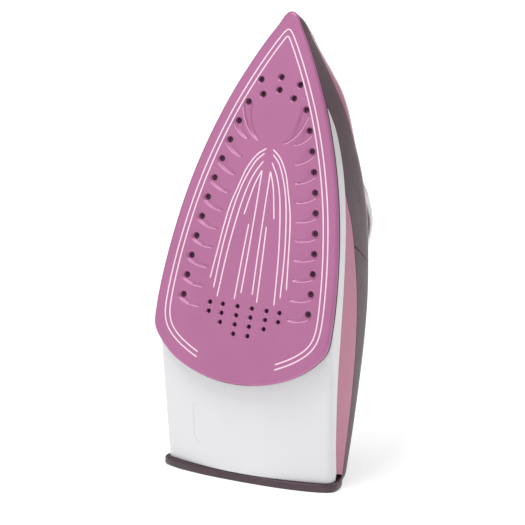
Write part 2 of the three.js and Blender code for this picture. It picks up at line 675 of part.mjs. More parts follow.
// ---- controls ----
function temperatureDial() {
  const { z, r, bottom, top } = DIAL;
  const wheel = [
    [DIAL.shaftR + 0.3, bottom + 2], [r - 2, bottom], [r, bottom + 1], [r, top - 3], [r - 1.6, top - 1],
    [r - 6, top], [DIAL.shaftR + 0.3, top],
  ];
  let dial = toSolid(turned(0, z, wheel, 24));
  for (let k = 0; k < 12; k += 1) {
    const angle = (2 * Math.PI * (k + 0.5)) / 12;
    const notchX = r * 1.02 * Math.cos(angle);
    const notchZ = z + r * 1.02 * Math.sin(angle);
    dial = dial.subtract(toSolid(rod(notchX, notchZ, 1.1, bottom + 2, top + 1, 6)));
  }
  const grip = box(-2, 2, top - 0.5, top + 3, z - 13, z + 16);
  const clear = rod(0, z, DIAL.shaftR + 0.3, top - 8, top + 1);
  return dial.add(toSolid(grip)).subtract(toSolid(clear));
}

function dialRing() {
  const { z, r, bottom } = DIAL;
  const low = bottom - 0.4;
  const trim = [[r + 0.5, low], [r + 2.2, low], [r + 2.2, bottom + 3.4], [r + 0.5, bottom + 4]];
  return turned(0, z, trim, 32);
}

function buttonCap(z) {
  const cap = toSolid(plate(roundedRect(-9, 9, z - 7.5, z + 7.5, 4), 125.5, 132.2));
  const crown = toSolid(plate(roundedRect(-7.6, 7.6, z - 6.1, z + 6.1, 3.4), 132, 133.4));
  const hollow = toSolid(plate(roundedRect(-7.2, 7.2, z - 5.7, z + 5.7, 3), 120, 130));
  const stem = toSolid(rod(0, z, 2, 111.9, 131));
  return cap.add(crown).subtract(hollow).add(stem);
}

function pumpBody(z) {
  const cup = [[0, 107.8], [4.2, 107.8], [5.4, 109.6], [5.4, 117], [2.3, 117], [2.3, 108.5], [0, 108.5]];
  return turned(0, z, cup, 16);
}

function coilSpring(z, low, high) {
  const turns = 4;
  const line = samples(0, 1, turns * 8).map((f) => {
    const angle = 2 * Math.PI * turns * f;
    return [3.6 * Math.cos(angle), low + (high - low) * f, z + 3.6 * Math.sin(angle)];
  });
  return bar(line, 0.45, turns * 9, 4);
}

function steamSelector() {
  const { y, z } = SELECTOR;
  let knob = toSolid(box(-5.6, 5.6, y - 4, y + 4, z, z + 3.8));
  knob = knob.add(toSolid(box(-3.9, 3.9, y - 3, y + 3, z - 10.2, z + 0.4)));
  for (const dy of [-2, 0, 2]) {
    knob = knob.add(toSolid(box(-5, 5, y + dy - 0.45, y + dy + 0.45, z + 3.4, z + 4.5)));
  }
  return knob;
}

function valveRod() {
  const low = CASTING_TOP + 5.6;
  const { z, rodR } = VALVE;
  const needle = [[0, low], [0.8, low], [rodR, low + 2.4], [rodR, 96], [2.6, 96], [2.6, 99], [0, 99]];
  return turned(0, z, needle, 16);
}

// ---- inside ----
function chamberCover() {
  let cover = toSolid(plate(roundedRect(-14, 14, 103, 215, 8), CASTING_TOP + 1.2, CASTING_TOP + 2.2));
  cover = cover.subtract(toSolid(rod(0, VALVE.z, 4.3, 0, 30)));
  return cover.subtract(toSolid(rod(0, DIAL.z, 8.8, 0, 30, 20)));
}

function chamberGasket() {
  const ring = toSolid(plate(roundedRect(-14, 14, 103, 215, 8), CASTING_TOP + GAP, CASTING_TOP + 0.9));
  return ring.subtract(toSolid(plate(chamberOutline(0.4), 0, 30)));
}

function valveSeat() {
  const base = CASTING_TOP + 2.4;
  const rim = TANK_FLOOR + 1;
  const low = base - 3;
  const seat = [[1.1, low], [3.9, low], [3.9, rim], [3.2, rim], [2.2, base + 5.4], [1.1, base + 3.2]];
  return turned(0, VALVE.z, seat, 20);
}

function heatShield() {
  const outline = soleOutline(0, 40).map((p) => new THREE.Vector2(0.8 * p.x, 182 + 0.8 * (p.y - 182)));
  let shield = toSolid(plate(new THREE.Shape(outline), SHIELD_Y, SHIELD_Y + 0.6));
  shield = shield.intersect(toSolid(box(-80, 80, 0, 40, 93, 300)));
  for (const z of SOLE_SCREWS) shield = shield.subtract(toSolid(rod(0, z, 1.6, 0, 30, 10)));
  shield = shield.subtract(toSolid(rod(0, VALVE.z, 4.6, 0, 30)));
  return shield.subtract(toSolid(rod(0, DIAL.z, 6, 0, 30, 20)));
}

function thermostatBody() {
  const { z } = DIAL;
  const low = CASTING_TOP + 0.4;
  return turned(0, z, [[0, low], [8, low], [8, low + 4], [5.4, low + 5], [0, low + 5]]);
}

function thermostatShaft() {
  const { z, shaftR, top } = DIAL;
  const low = CASTING_TOP + 5.8;
  return turned(0, z, [[0, low], [shaftR, low], [shaftR, top - 1], [0, top - 1]]);
}

function wire(sign) {
  const line = [
    [8, 86.2, 48], [9, 74, 43], [10, 60, 43], [13, 46, 54], [16, 33, 74], [17, 28.6, 84], [17, 26, 88],
  ];
  return bar(line.map(([x, y, z]) => [sign * x, y, z]), 1.3, 16, 6);
}

function terminalBlock() {
  const block = toSolid(box(-13, 13, 87, 95, 43, 54));
  const bores = [-8, 8].map((x) => toSolid(rod(x, 48.5, 2, 90, 100, 12)));
  return bores.reduce((left, bore) => left.subtract(bore), block);
}

function soleScrew(z) {
  const seat = SHIELD_Y + 0.6 + GAP;
  const head = turned(0, z, [[0, seat], [2.9, seat], [2.6, seat + 1.1], [0, seat + 1.2]], 14);
  const shank = toSolid(rod(0, z, 1.2, 6, seat + 0.2, 12));
  return toSolid(head).add(shank).subtract(toSolid(box(-4, 4, seat + 0.7, seat + 2, z - 0.35, z + 0.35)));
}

function sprayNozzle() {
  const tip = lathed([[0.7, 0], [3.1, 0], [3.1, 8.4], [4.6, 8.4], [4.2, 11.6], [0.7, 12.2]], 16);
  tip.rotateX(Math.PI / 2);
  tip.translate(0, NOZZLE.y, NOZZLE.z);
  return tip;
}

function sprayTube() {
  const { y, z } = NOZZLE;
  const line = [[0, y, z - 1.4], [4, y + 4, z - 3], [7, 88, 199], [6.4, 100, 188], [6.4, 109.6, 175.2]];
  return bar(line, 1, 14, 6);
}

function pickupTube() {
  const line = [[-6, 27, 199], [-6, 50, 198.5], [-6, 74, 198.5], [-6.5, 92, 195], [-6.9, 104.5, 184.5],
    [-6.9, 111.4, 172], [-6.9, 112.6, 160.5]];
  return bar(line, 1.1, 16, 6);
}

function pilotLamp() {
  return turned(0, LAMP_Z, [[0, 124], [3, 124], [3, 130], [2.2, 130.8], [0, 131.2]], 16);
}

addPart('sole_face', soleFace(), paints.sole);
addPart('sole_casting', soleCasting(), paints.casting);
addPart('heating_element', bar(elementLine, ELEMENT_R, 32, 6), paints.steel);
addPart('chamber_gasket', chamberGasket(), paints.rubber);
addPart('chamber_cover', chamberCover(), paints.steel);
addPart('valve_seat', valveSeat(), paints.brass);
addPart('thermostat_body', thermostatBody(), paints.ceramic);
addPart('heat_shield', heatShield(), paints.steel);
addPart('sole_screw_front', soleScrew(SOLE_SCREWS[1]), paints.steel);
addPart('sole_screw_rear', soleScrew(SOLE_SCREWS[0]), paints.steel);
addPart('lower_housing', lowerHousing(), paints.white);
addPart('water_tank', waterTank(), paints.tank);
addPart('tank_lid', tankLid(), paints.tank);
addPart('nose_band', noseBand(), paints.dark);
addPart('rear_panel_left', rearPanel(1), paints.dark);
addPart('rear_panel_right', rearPanel(-1), paints.dark);
addPart('deck_cover', deckCover(), paints.dark);
addPart('heel_plate', heelPlate(), paints.heel);
addPart('handle_upper', handleUpper(), paints.white);
addPart('handle_lower', handleLower(), paints.grip);
addPart('rear_cover', rearCover(), paints.dark);
addPart('gland_collar', glandCollar(), paints.black);
addPart('cord_gland', cordGland(), paints.black);
addPart('filler_neck', fillerNeck(), paints.black);
addPart('filler_lid', fillerLid(), paints.button);
addPart('filler_hinge_pin', hingeBar(1, 16), paints.steel);
addPart('temperature_dial', temperatureDial(), paints.dark);
addPart('dial_ring', dialRing(), paints.white);
addPart('thermostat_shaft', thermostatShaft(), paints.brass);
addPart('burst_button', buttonCap(BUTTONS.burst), paints.button);
addPart('spray_button', buttonCap(BUTTONS.spray), paints.button);
addPart('burst_pump', pumpBody(BUTTONS.burst), paints.ceramic);
addPart('spray_pump', pumpBody(BUTTONS.spray), paints.ceramic);
addPart('burst_spring', coilSpring(BUTTONS.burst, 117.8, 129.2), paints.steel);
addPart('spray_spring', coilSpring(BUTTONS.spray, 117.8, 129.2), paints.steel);
addPart('steam_selector', steamSelector(), paints.button);
addPart('valve_rod', valveRod(), paints.brass);
addPart('spray_nozzle', sprayNozzle(), paints.black);
addPart('spray_tube', sprayTube(), paints.rubber);
addPart('pickup_tube', pickupTube(), paints.rubber);
addPart('pilot_lamp', pilotLamp(), paints.button);
addPart('terminal_block', terminalBlock(), paints.ceramic);
addPart('wire_live', wire(1), paints.rubber);
addPart('wire_neutral', wire(-1), paints.black);

export default group;
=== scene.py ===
import json
import math

import bmesh
import bpy
import numpy as np
from mathutils import Matrix, Vector


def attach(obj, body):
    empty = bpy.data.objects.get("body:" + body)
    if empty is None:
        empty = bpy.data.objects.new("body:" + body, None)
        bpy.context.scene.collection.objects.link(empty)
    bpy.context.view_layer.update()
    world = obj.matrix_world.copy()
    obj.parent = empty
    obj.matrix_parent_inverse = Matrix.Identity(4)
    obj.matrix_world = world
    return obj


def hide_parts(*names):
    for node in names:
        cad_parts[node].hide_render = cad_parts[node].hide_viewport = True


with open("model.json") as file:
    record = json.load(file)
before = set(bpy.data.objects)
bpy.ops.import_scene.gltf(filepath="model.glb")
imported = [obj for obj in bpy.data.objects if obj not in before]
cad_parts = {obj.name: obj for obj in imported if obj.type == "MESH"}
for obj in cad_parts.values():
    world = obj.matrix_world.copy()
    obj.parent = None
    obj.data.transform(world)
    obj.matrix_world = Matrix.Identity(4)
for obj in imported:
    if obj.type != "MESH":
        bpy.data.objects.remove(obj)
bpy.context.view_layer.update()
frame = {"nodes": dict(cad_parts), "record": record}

# Pieces are drawn in the iron's own frame in millimetres, as the CAD source draws them: x across,
# y up from the sole's working face towards the handle, z along the sole with the nose at the top.
MM = 0.001
LEAN = math.radians(14)
COS, SIN = math.cos(LEAN), math.sin(LEAN)
FLOOR_SHIFT = 70 / COS
NOSE = 288.5
LEAN_BACK, LEAN_REACH = 0.012, 60
MIRROR = np.array([-1, 1, 1])
SOLE_LENGTH = 223
FACE_THICK = 2.2
CASTING_TOP = 12
CHANNEL_DEPTH = 1.1
GAP = 0.3
SKIN = 2.2
PANEL = 1.7
TANK_SIDE = 4.4
DECK = 3
HEEL_THICK = 5
DIAL_Z, DIAL_R, DIAL_LOW, DIAL_TOP, SHAFT_R = 128, 23, 69.4, 79, 3
LID_Y, LID_Z, LID_HALF, LID_LONG, MOUTH_Z, LID_WELL = 54.9, 250.5, 8.6, 22, 237, 2.1
GLAND_Y, GLAND_Z, GLAND_TILT = 110.6, 52.5, math.atan2(0.48, 0.88)
SELECTOR_Y, SELECTOR_Z, SELECTOR_TRAVEL = 88, 213.6, 8
BUTTON_Z = {"burst_button": 150, "spray_button": 168.5}
CAP_LOW, CAP_HIGH, CAP_CEILING = 125.5, 132.4, 130.6
LAMP_Z = 134
NOZZLE_Y, NOZZLE_Z = 75, 207.8
VALVE_Z = 199
RIM_TOP = 5.4
CASTING_INSET = 4.2

SOLE_HALF = [
    (2.6, 1.0), (4.7, 3.6), (7.6, 8.9), (13.1, 17.8), (22.6, 35.5), (33.3, 59.2), (43.5, 88.8),
    (50.7, 118.3), (55.9, 153.8), (57.6, 183.4), (56.4, 196), (50.5, 204.1), (39.5, 213), (21, 220.4),
]
BODY_HALF = [
    (0, 288), (2.4, 286.9), (4.6, 284.2), (7.4, 279.2), (12.8, 270.5), (22.3, 252.9), (33, 229.2),
    (43.2, 199.7), (50.4, 170.2), (55.6, 134.7), (57.4, 105), (57.4, 60), (56.8, 20), (56.4, -10),
]
# body section from the sole up: share of the shoulder height, lift above it, inset from the plan
ROWS = [(0, 4, 0.6), (0.3, 0, 1.4), (0.62, 0, 2.6), (0.85, 0, 3.8), (1, 0, 5.2), (1, 3.6, 7.2),
        (1, 6.6, 11), (1, 8.4, 16), (1, 9, 22)]
# handle stations from the front pillar to the heel: y, z, half width, half depth
HANDLE = [
    (48, 203, 17, 15), (76, 200, 15.5, 14.4), (95, 194.5, 14.8, 14), (109, 185.5, 18.4, 14),
    (116.6, 172, 20.3, 14.4), (118, 150, 18.6, 13.2), (115.6, 118, 16.8, 12.6), (112.4, 92, 17.8, 13.2),
    (105, 69, 21, 15), (94, 48, 28, 18), (85, 28, 36, 20), (79, 6, 41, 21.5),
]


# ---- small helpers ----
def to_row(points):
    """Points of the iron's own frame in millimetres, as points of the row frame in metres."""
    x, y, z = np.asarray(points, float).reshape(-1, 3).T
    return np.stack([x, y * COS + z * SIN - FLOOR_SHIFT, z * COS - y * SIN], axis=1) * MM


def smooth(knots):
    """Smooth curve through (position, value) knots in rising order of position."""
    at, value = (np.array(column, float) for column in zip(*knots))
    last = len(at) - 1
    low = np.maximum(np.arange(last + 1) - 1, 0)
    high = np.minimum(np.arange(last + 1) + 1, last)
    slope = (value[high] - value[low]) / (at[high] - at[low])

    def curve(position):
        p = np.clip(position, at[0], at[-1])
        i = np.clip(np.searchsorted(at, p, side="left") - 1, 0, last - 1)
        span = at[i + 1] - at[i]
        s = (p - at[i]) / span
        ease = 3 * s ** 2 - 2 * s ** 3
        rise = s * (1 - s) ** 2 * span * slope[i] - s ** 2 * (1 - s) * span * slope[i + 1]
        return value[i] * (1 - ease) + value[i + 1] * ease + rise

    return curve


def catmull(points, per_span, closed=False):
    """Centripetal Catmull-Rom curve through the points, per_span samples between each two."""
    p = np.asarray(points, float)
    if closed:
        p = np.vstack([p[-1], p, p[0], p[1]])
    else:
        p = np.vstack([2 * p[0] - p[1], p, 2 * p[-1] - p[-2]])
    s = (np.arange(per_span) / per_span)[:, None]
    out = []
    for p0, p1, p2, p3 in zip(p, p[1:], p[2:], p[3:]):
        d0, d1, d2 = (max(math.sqrt(np.linalg.norm(b - a)), 1e-6) for a, b in ((p0, p1), (p1, p2), (p2, p3)))
        t1 = ((p1 - p0) / d0 - (p2 - p0) / (d0 + d1) + (p2 - p1) / d1) * d1
        t2 = ((p2 - p1) / d1 - (p3 - p1) / (d1 + d2) + (p3 - p2) / d2) * d1
        bend = -3 * p1 + 3 * p2 - 2 * t1 - t2
        twist = 2 * p1 - 2 * p2 + t1 + t2
        out.append(p1 + t1 * s + bend * s ** 2 + twist * s ** 3)
    if not closed:
        out.append(p[-2:-1])
    return np.vstack(out)


def resample(points, count):
    """The same line with count points at even steps along it."""
    steps = np.linalg.norm(np.diff(points, axis=0), axis=1)
    along = np.concatenate([[0], np.cumsum(steps)])
    at = np.linspace(0, along[-1], count)
    return np.stack([np.interp(at, along, column) for column in points.T], axis=1)


def drawn_in(loop, inset):
    """A closed loop of [x, z] points moved inwards; the loop runs clockwise seen with z up."""
    along = np.roll(loop, -1, axis=0) - np.roll(loop, 1, axis=0)
    along /= np.linalg.norm(along, axis=1)[:, None]
    return loop + np.stack([along[:, 1], -along[:, 0]], axis=1) * inset


def level(loop, y):
    """[x, z] points as points at height y, which is one height or one for each point."""
    return np.stack([loop[:, 0], np.full(len(loop), y), loop[:, 1]], axis=1)


def sideways(line):
    """Unit vectors square to a line of [x, z] points."""
    along = np.gradient(line, axis=0)
    along /= np.linalg.norm(along, axis=1)[:, None]
    return np.stack([-along[:, 1], along[:, 0]], axis=1)


def eased(share):
    return share ** 2 * (3 - 2 * share)


RECORD = frame["record"]
NODE_SLOT = {part["node"]: part["material_slot"] for part in RECORD["subparts"]}
NODE_BODY = {node: body for body, nodes in RECORD["behaviour"]["bodies"].items() for node in nodes}
MATERIALS = {}


def mesh_of(name, points, faces):
    """A clean mesh from points in the row frame, with its faces turned outwards."""
    mesh = bpy.data.meshes.new(name)
    mesh.from_pydata([tuple(p) for p in points], [], [tuple(f) for f in faces])
    bm = bmesh.new()
    bm.from_mesh(mesh)
    bmesh.ops.remove_doubles(bm, verts=bm.verts, dist=1e-6)
    bmesh.ops.dissolve_degenerate(bm, edges=bm.edges, dist=1e-7)
    bmesh.ops.recalc_face_normals(bm, faces=bm.faces)
    bm.to_mesh(mesh)
    bm.free()
    return mesh


def round_edges(mesh, width, segments=3, sharper_than=40):
    """Rounds every edge that is sharper than the given angle. Width in millimetres."""
    bm = bmesh.new()
    bm.from_mesh(mesh)
    limit = math.radians(sharper_than)
    sharp = [e for e in bm.edges if len(e.link_faces) == 2 and e.calc_face_angle(0) > limit]
    bmesh.ops.bevel(bm, geom=sharp, offset=width * MM, segments=segments, profile=0.5,
                    affect="EDGES", clamp_overlap=True)
    bm.to_mesh(mesh)
    bm.free()


def shape(name, points, faces, round_by=0, in_row=False, segments=3):
    """A mesh object, with its sharp edges rounded by round_by millimetres."""
    mesh = mesh_of(name, points if in_row else to_row(points), faces)
    if round_by:
        round_edges(mesh, round_by, segments)
    piece = bpy.data.objects.new(name, mesh)
    bpy.context.scene.collection.objects.link(piece)
    return piece


def boolean(piece, other, operation="DIFFERENCE"):
    """Cuts the other solid from the piece, joins it on, or keeps what they share, and removes the other."""
    cut = piece.modifiers.new("cut", "BOOLEAN")
    cut.operation = operation
    cut.solver = "MANIFOLD"
    cut.object = other
    bpy.context.view_layer.update()
    done = piece.evaluated_get(bpy.context.evaluated_depsgraph_get())
    mesh = bpy.data.meshes.new_from_object(done)
    piece.modifiers.clear()
    if len(mesh.polygons) < 4:
        raise SystemExit(f"the cut on {piece.name} left nothing")
    before, after = ((len(m.polygons), len(m.vertices)) for m in (piece.data, mesh))
    if before == after:
        raise SystemExit(f"a cut on {piece.name} changed nothing")
    piece.data = mesh
    bpy.data.objects.remove(other)
    return piece


def finish_piece(piece, *nodes, sharp=32, body=None, slot=None):
    """Shades the piece, gives it its material and body, and lets it stand for its CAD nodes."""
    mesh = piece.data
    mesh.polygons.foreach_set("use_smooth", np.ones(len(mesh.polygons), bool))
    mesh.set_sharp_from_angle(angle=math.radians(sharp))
    slot = slot or NODE_SLOT[nodes[0]]
    mesh.materials.clear()
    mesh.materials.append(MATERIALS[slot])
    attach(piece, body or NODE_BODY[nodes[0]])
    if nodes:
        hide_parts(*nodes)
    return piece


def grid_faces(rows, columns, start=0, around=False):
    """Quads over a grid of points; around joins the last column back to the first."""
    r, c = np.meshgrid(np.arange(rows - 1), np.arange(columns if around else columns - 1), indexing="ij")
    a = r * columns + c
    b = r * columns + (c + 1) % columns
    return (np.stack([a, b, b + columns, a + columns], axis=-1).reshape(-1, 4) + start).tolist()


def border(rows, columns):
    """Indices of a grid's border in order."""
    top = list(range(columns))
    right = [r * columns + columns - 1 for r in range(1, rows)]
    bottom = [(rows - 1) * columns + c for c in range(columns - 2, -1, -1)]
    left = [r * columns for r in range(rows - 2, 0, -1)]
    return top + right + bottom + left


def plate_between(outer, inner):
    """Points and faces of a closed plate between two grids of points."""
    rows, columns = outer.shape[:2]
    count = rows * columns
    points = np.vstack([outer.reshape(-1, 3), inner.reshape(-1, 3)])
    faces = grid_faces(rows, columns) + [f[::-1] for f in grid_faces(rows, columns, count)]
    rim = border(rows, columns)
    for a, b in zip(rim, rim[1:] + rim[:1]):
        faces.append([b, a, a + count, b + count])
    return points, faces


def grid_normals(grid):
    """Unit normals of a grid of points, from its neighbours' differences."""
    d_row = np.gradient(grid, axis=0)
    d_column = np.gradient(grid, axis=1)
    normal = np.cross(d_row, d_column)
    length = np.linalg.norm(normal, axis=2, keepdims=True)
    return normal / np.maximum(length, 1e-9)


def stack(loops):
    """Points and faces of a closed piece through equal closed loops of points, capped at both ends."""
    rows, columns = len(loops), len(loops[0])
    points = np.vstack(loops)
    faces = grid_faces(rows, columns, around=True)
    faces.append(list(range(columns))[::-1])
    faces.append(list(range((rows - 1) * columns, rows * columns)))
    return points, faces


def soft_profile(low, high, radius, steps=4):
    """(inset, height) pairs of a plate's side with both its edges rounded."""
    turns = [math.pi / 2 * k / steps for k in range(steps + 1)]
    lower = [(radius * (1 - math.sin(t)), low + radius * (1 - math.cos(t))) for t in turns]
    upper = [(inset, high + low - y) for inset, y in reversed(lower)]
    return lower + upper


def slab(loop, profile):
    """Points and faces of a plate with the given [x, z] outline and (inset, y) side profile."""
    return stack([level(drawn_in(loop, inset), y) for inset, y in profile])


def rounded_rect(x0, x1, z0, z1, r, steps=8):
    """Clockwise [x, z] outline of a rectangle with round corners."""
    corners = [(x0 + r, z1 - r, 1.0), (x1 - r, z1 - r, 0.5), (x1 - r, z0 + r, 0.0), (x0 + r, z0 + r, -0.5)]
    points = []
    for x, z, start in corners:
        for k in range(steps + 1):
            turn = math.pi * (start - 0.5 * k / steps)
            points.append((x + r * math.cos(turn), z + r * math.sin(turn)))
    return np.array(points)


def lathe(profile, segments=64, wave=None):
    """Points about the y axis for a profile of (radius, y); the profile closes on itself."""
    turn = 2 * np.pi * np.arange(segments) / segments
    rings = []
    for r, y in profile:
        radius = r * (wave(turn, r, y) if wave else 1)
        rings.append(np.stack([radius * np.cos(turn), np.full(segments, y), radius * np.sin(turn)], axis=1))
    rings.append(rings[0])
    points = np.vstack(rings)
    return points, grid_faces(len(rings), segments, around=True)


def joined(parts):
    """Several (points, faces) pairs as one."""
    points, faces, count = [], [], 0
    for p, f in parts:
        points.append(p)
        faces += [[i + count for i in face] for face in f]
        count += len(p)
    return np.vstack(points), faces


def moved(part, x=0.0, y=0.0, z=0.0):
    points, faces = part
    return points + np.array([x, y, z]), faces


def tilted(part, turn, y, z):
    """A part drawn along +y, turned about x towards the heel and moved to (y, z)."""
    points, faces = part
    px, py, pz = points.T
    c, s = math.cos(-turn), math.sin(-turn)
    return np.stack([px, py * c - pz * s + y, py * s + pz * c + z], axis=1), faces


def box_part(x0, x1, y0, y1, z0, z1):
    """Points and faces of a cuboid, for cutting."""
    loop = np.array([(x0, z1), (x1, z1), (x1, z0), (x0, z0)], float)
    return stack([level(loop, y) for y in (y0, y1)])


def bore(radius, low, high, z=0.0, segments=48):
    """Points and faces of a round bar along y, for cutting or joining."""
    return moved(lathe([(0, low), (radius, low), (radius, high), (0, high)], segments), z=z)


def cut_with(piece, part, operation="DIFFERENCE"):
    return boolean(piece, shape("cutter", *part), operation)


# ---- procedural materials ----
class Nodes:
    """Small builder for a material's nodes."""

    def __init__(self, name):
        self.material = bpy.data.materials.new(name)
        self.material.use_nodes = True
        self.tree = self.material.node_tree
        self.shader = self.tree.nodes["Principled BSDF"]
        self.place = self.tree.nodes.new("ShaderNodeTexCoord").outputs["Object"]

    def add(self, kind, **values):
        node = self.tree.nodes.new(kind)
        for key, value in values.items():
            setattr(node, key, value)
        return node

    def link(self, source, target):
        self.tree.links.new(source, target)

    def noise(self, scale, detail=3.0, roughness=0.5, stretch=None):
        node = self.add("ShaderNodeTexNoise")
        node.inputs["Scale"].default_value = scale
        node.inputs["Detail"].default_value = detail
        node.inputs["Roughness"].default_value = roughness
        place = self.place
        if stretch:
            mapping = self.add("ShaderNodeMapping")
            mapping.inputs["Scale"].default_value = stretch
            self.link(place, mapping.inputs["Vector"])
            place = mapping.outputs["Vector"]
        self.link(place, node.inputs["Vector"])
        return node.outputs["Fac"]

    def ramp(self, source, stops):
        node = self.add("ShaderNodeValToRGB")
        node.color_ramp.elements[0].position = stops[0][0]
        node.color_ramp.elements[0].color = (*stops[0][1], 1)
        node.color_ramp.elements[1].position = stops[-1][0]
        node.color_ramp.elements[1].color = (*stops[-1][1], 1)
        for at, color in stops[1:-1]:
            node.color_ramp.elements.new(at).color = (*color, 1)
        self.link(source, node.inputs["Fac"])
        return node.outputs["Color"]

    def spread(self, source, low, high):
        node = self.add("ShaderNodeMapRange")
        node.inputs["From Min"].default_value = 0.3
        node.inputs["From Max"].default_value = 0.7
        node.inputs["To Min"].default_value = low
        node.inputs["To Max"].default_value = high
        self.link(source, node.inputs["Value"])
        return node.outputs["Result"]

    def mix(self, a, b, share):
        node = self.add("ShaderNodeMix", data_type="RGBA")
        for source, socket in ((a, node.inputs[6]), (b, node.inputs[7]), (share, node.inputs[0])):
            if isinstance(source, bpy.types.NodeSocket):
                self.link(source, socket)
            else:
                socket.default_value = source
        return node.outputs[2]

    def edge_share(self, low, high):
        """Rises from 0 to 1 on the piece's outward edges."""
        node = self.add("ShaderNodeMapRange")
        node.inputs["From Min"].default_value = low
        node.inputs["From Max"].default_value = high
        self.link(self.add("ShaderNodeNewGeometry").outputs["Pointiness"], node.inputs["Value"])
        return node.outputs["Result"]

    def bump(self, source, strength, depth):
        node = self.add("ShaderNodeBump")
        node.inputs["Strength"].default_value = strength
        node.inputs["Distance"].default_value = depth
        self.link(source, node.inputs["Height"])
        self.link(node.outputs["Normal"], self.shader.inputs["Normal"])


def material(slot, color, rough, metal=0.0, vary=0.05, grain=(1500, 0.1), wear=None, brushed=None,
             sockets=None):
    """A plastic, metal or rubber finish: mottled colour, uneven gloss, fine grain and lighter edges."""
    n = Nodes(slot)
    low = tuple(c * (1 - vary) for c in color)
    high = tuple(min(1.0, c * (1 + vary)) for c in color)
    mottled = n.ramp(n.noise(34, 5, 0.6), [(0.32, low), (0.5, color), (0.68, high)])
    if wear:
        mottled = n.mix(mottled, (*wear, 1), n.edge_share(0.53, 0.72))
    n.link(mottled, n.shader.inputs["Base Color"])
    n.link(n.spread(n.noise(90, 4, 0.6), rough * 0.85, rough * 1.15), n.shader.inputs["Roughness"])
    n.shader.inputs["Metallic"].default_value = metal
    n.bump(n.noise(grain[0], 2, 0.5, brushed), grain[1], 0.00004)
    for name, value in (sockets or {}).items():
        n.shader.inputs[name].default_value = value
    MATERIALS[slot] = n.material
    return n


def make_materials():
    gloss = {"Coat Weight": 0.35, "Coat Roughness": 0.12}
    material("sole_coat", (0.385, 0.125, 0.265), 0.36, 0.25, 0.03, (5200, 0.12), (0.36, 0.2, 0.3),
             sockets={"Coat Weight": 0.2, "Coat Roughness": 0.3})
    material("casting", (0.06, 0.03, 0.052), 0.5, 0.3, 0.2, (900, 0.4), (0.12, 0.07, 0.1),
             sockets={"Specular IOR Level": 0.2})
    material("steel", (0.62, 0.63, 0.65), 0.3, 1.0, 0.06, (700, 0.2), (0.8, 0.8, 0.82), (1, 0.04, 1))
    material("brass", (0.66, 0.49, 0.22), 0.32, 1.0, 0.1, (800, 0.2), (0.85, 0.7, 0.4), (1, 0.05, 1))
    material("silicone", (0.42, 0.15, 0.11), 0.72, 0, 0.12, (600, 0.3))
    material("ceramic_white", (0.78, 0.74, 0.66), 0.68, 0, 0.05, (1100, 0.4))
    material("white_shell", (0.62, 0.615, 0.63), 0.34, 0, 0.012, (2400, 0.05), sockets=gloss)
    material("tank_clear", (0.46, 0.115, 0.215), 0.18, 0, 0.04, (1800, 0.02), sockets={
        "Transmission Weight": 0.15, "IOR": 1.45, "Specular IOR Level": 0.25})
    material("dark_trim", (0.082, 0.048, 0.061), 0.3, 0, 0.08, (2400, 0.02), (0.16, 0.11, 0.13),
             sockets={"Specular IOR Level": 0.08})
    material("heel_shell", (0.05, 0.026, 0.036), 0.46, 0, 0.15, (2100, 0.35), (0.16, 0.11, 0.13))
    material("grip_soft", (0.14, 0.085, 0.115), 0.6, 0, 0.1, (3000, 0.5), (0.22, 0.15, 0.19),
             sockets={"Sheen Weight": 0.25, "Sheen Roughness": 0.4})
    material("black_plastic", (0.022, 0.019, 0.022), 0.45, 0, 0.2, (2200, 0.4), (0.07, 0.065, 0.07))
    material("black_rubber", (0.02, 0.019, 0.02), 0.7, 0, 0.2, (1500, 0.5))
    material("wire_red", (0.35, 0.05, 0.04), 0.6, 0, 0.12, (1500, 0.3))
    material("tinted_plastic", (0.50, 0.32, 0.42), 0.2, 0, 0.05, (2000, 0.05), sockets={
        "Transmission Weight": 0.25, "IOR": 1.49, "Coat Weight": 0.4, "Coat Roughness": 0.08})
    material("lamp_lens", (0.80, 0.28, 0.10), 0.08, 0, 0.06, (900, 0.05), sockets={
        "Transmission Weight": 0.7, "IOR": 1.5})
    # pale enamel of the sole's printed lines; it takes its finish from the sole's slot
    material("sole_line", (0.80, 0.60, 0.70), 0.38, 0, 0.03, (2600, 0.15),
             sockets={"Coat Weight": 0.2, "Coat Roughness": 0.3})
    # painted highlight: pale pink for the ribbons along the steam channels' lower edges, in place of the
    # light those edges catch
    material("painted_channel_highlight", (0.63, 0.3, 0.47), 0.3, 0.2, 0.03, (2600, 0.1),
             sockets={"Coat Weight": 0.3, "Coat Roughness": 0.2})
    for name, node in frame["nodes"].items():
        paint = MATERIALS[NODE_SLOT[name]]
        if not node.material_slots:
            node.data.materials.append(paint)
        for place in node.material_slots:
            place.material = paint


# ---- body surface ----
shoulder = smooth([(20, 68), (60, 66), (100, 62.5), (146, 58.5), (194, 54.5), (229, 47), (288, 43)])
skirt_top = smooth([(22, 50), (40, 40.5), (64, 30.5), (87, 23), (111, 18), (135, 15.5), (170, 16),
                    (190, 16.8), (206, 16.8), (222, 14.6), (230, 10.5), (236, 6.2), (240, 5.9)])
trim_bottom = smooth([(22, 61), (64, 54.5), (87, 49.5), (111, 43.5), (134, 37), (170, 25.6),
                      (182, 19.6), (190, 16.9), (206, 16.8), (222, 14.6), (230, 10.5), (236, 6.3),
                      (292, 5.9)])
band_top = smooth([(128, 59.2), (170, 56.4), (206, 50), (229, 42), (250, 30), (270, 20), (292, 11)])
SKIRT_END = 236
SEAM = (158, 149)
row_base, row_lift, row_inset = (smooth(list(enumerate(column))) for column in zip(*ROWS))

plan = catmull([(-x, z) for x, z in BODY_HALF[2:0:-1]] + BODY_HALF, 24)[2 * 24:]
plan_z = plan[::-1, 1]
plan_x = np.maximum(plan[::-1, 0], 0)
OVER = 9  # section parameter where the top reaches the centre plane


def deck_edge(z):
    return shoulder(z) + 2


def heel_line(y):
    return y * math.tan(LEAN) + HEEL_THICK / COS + GAP


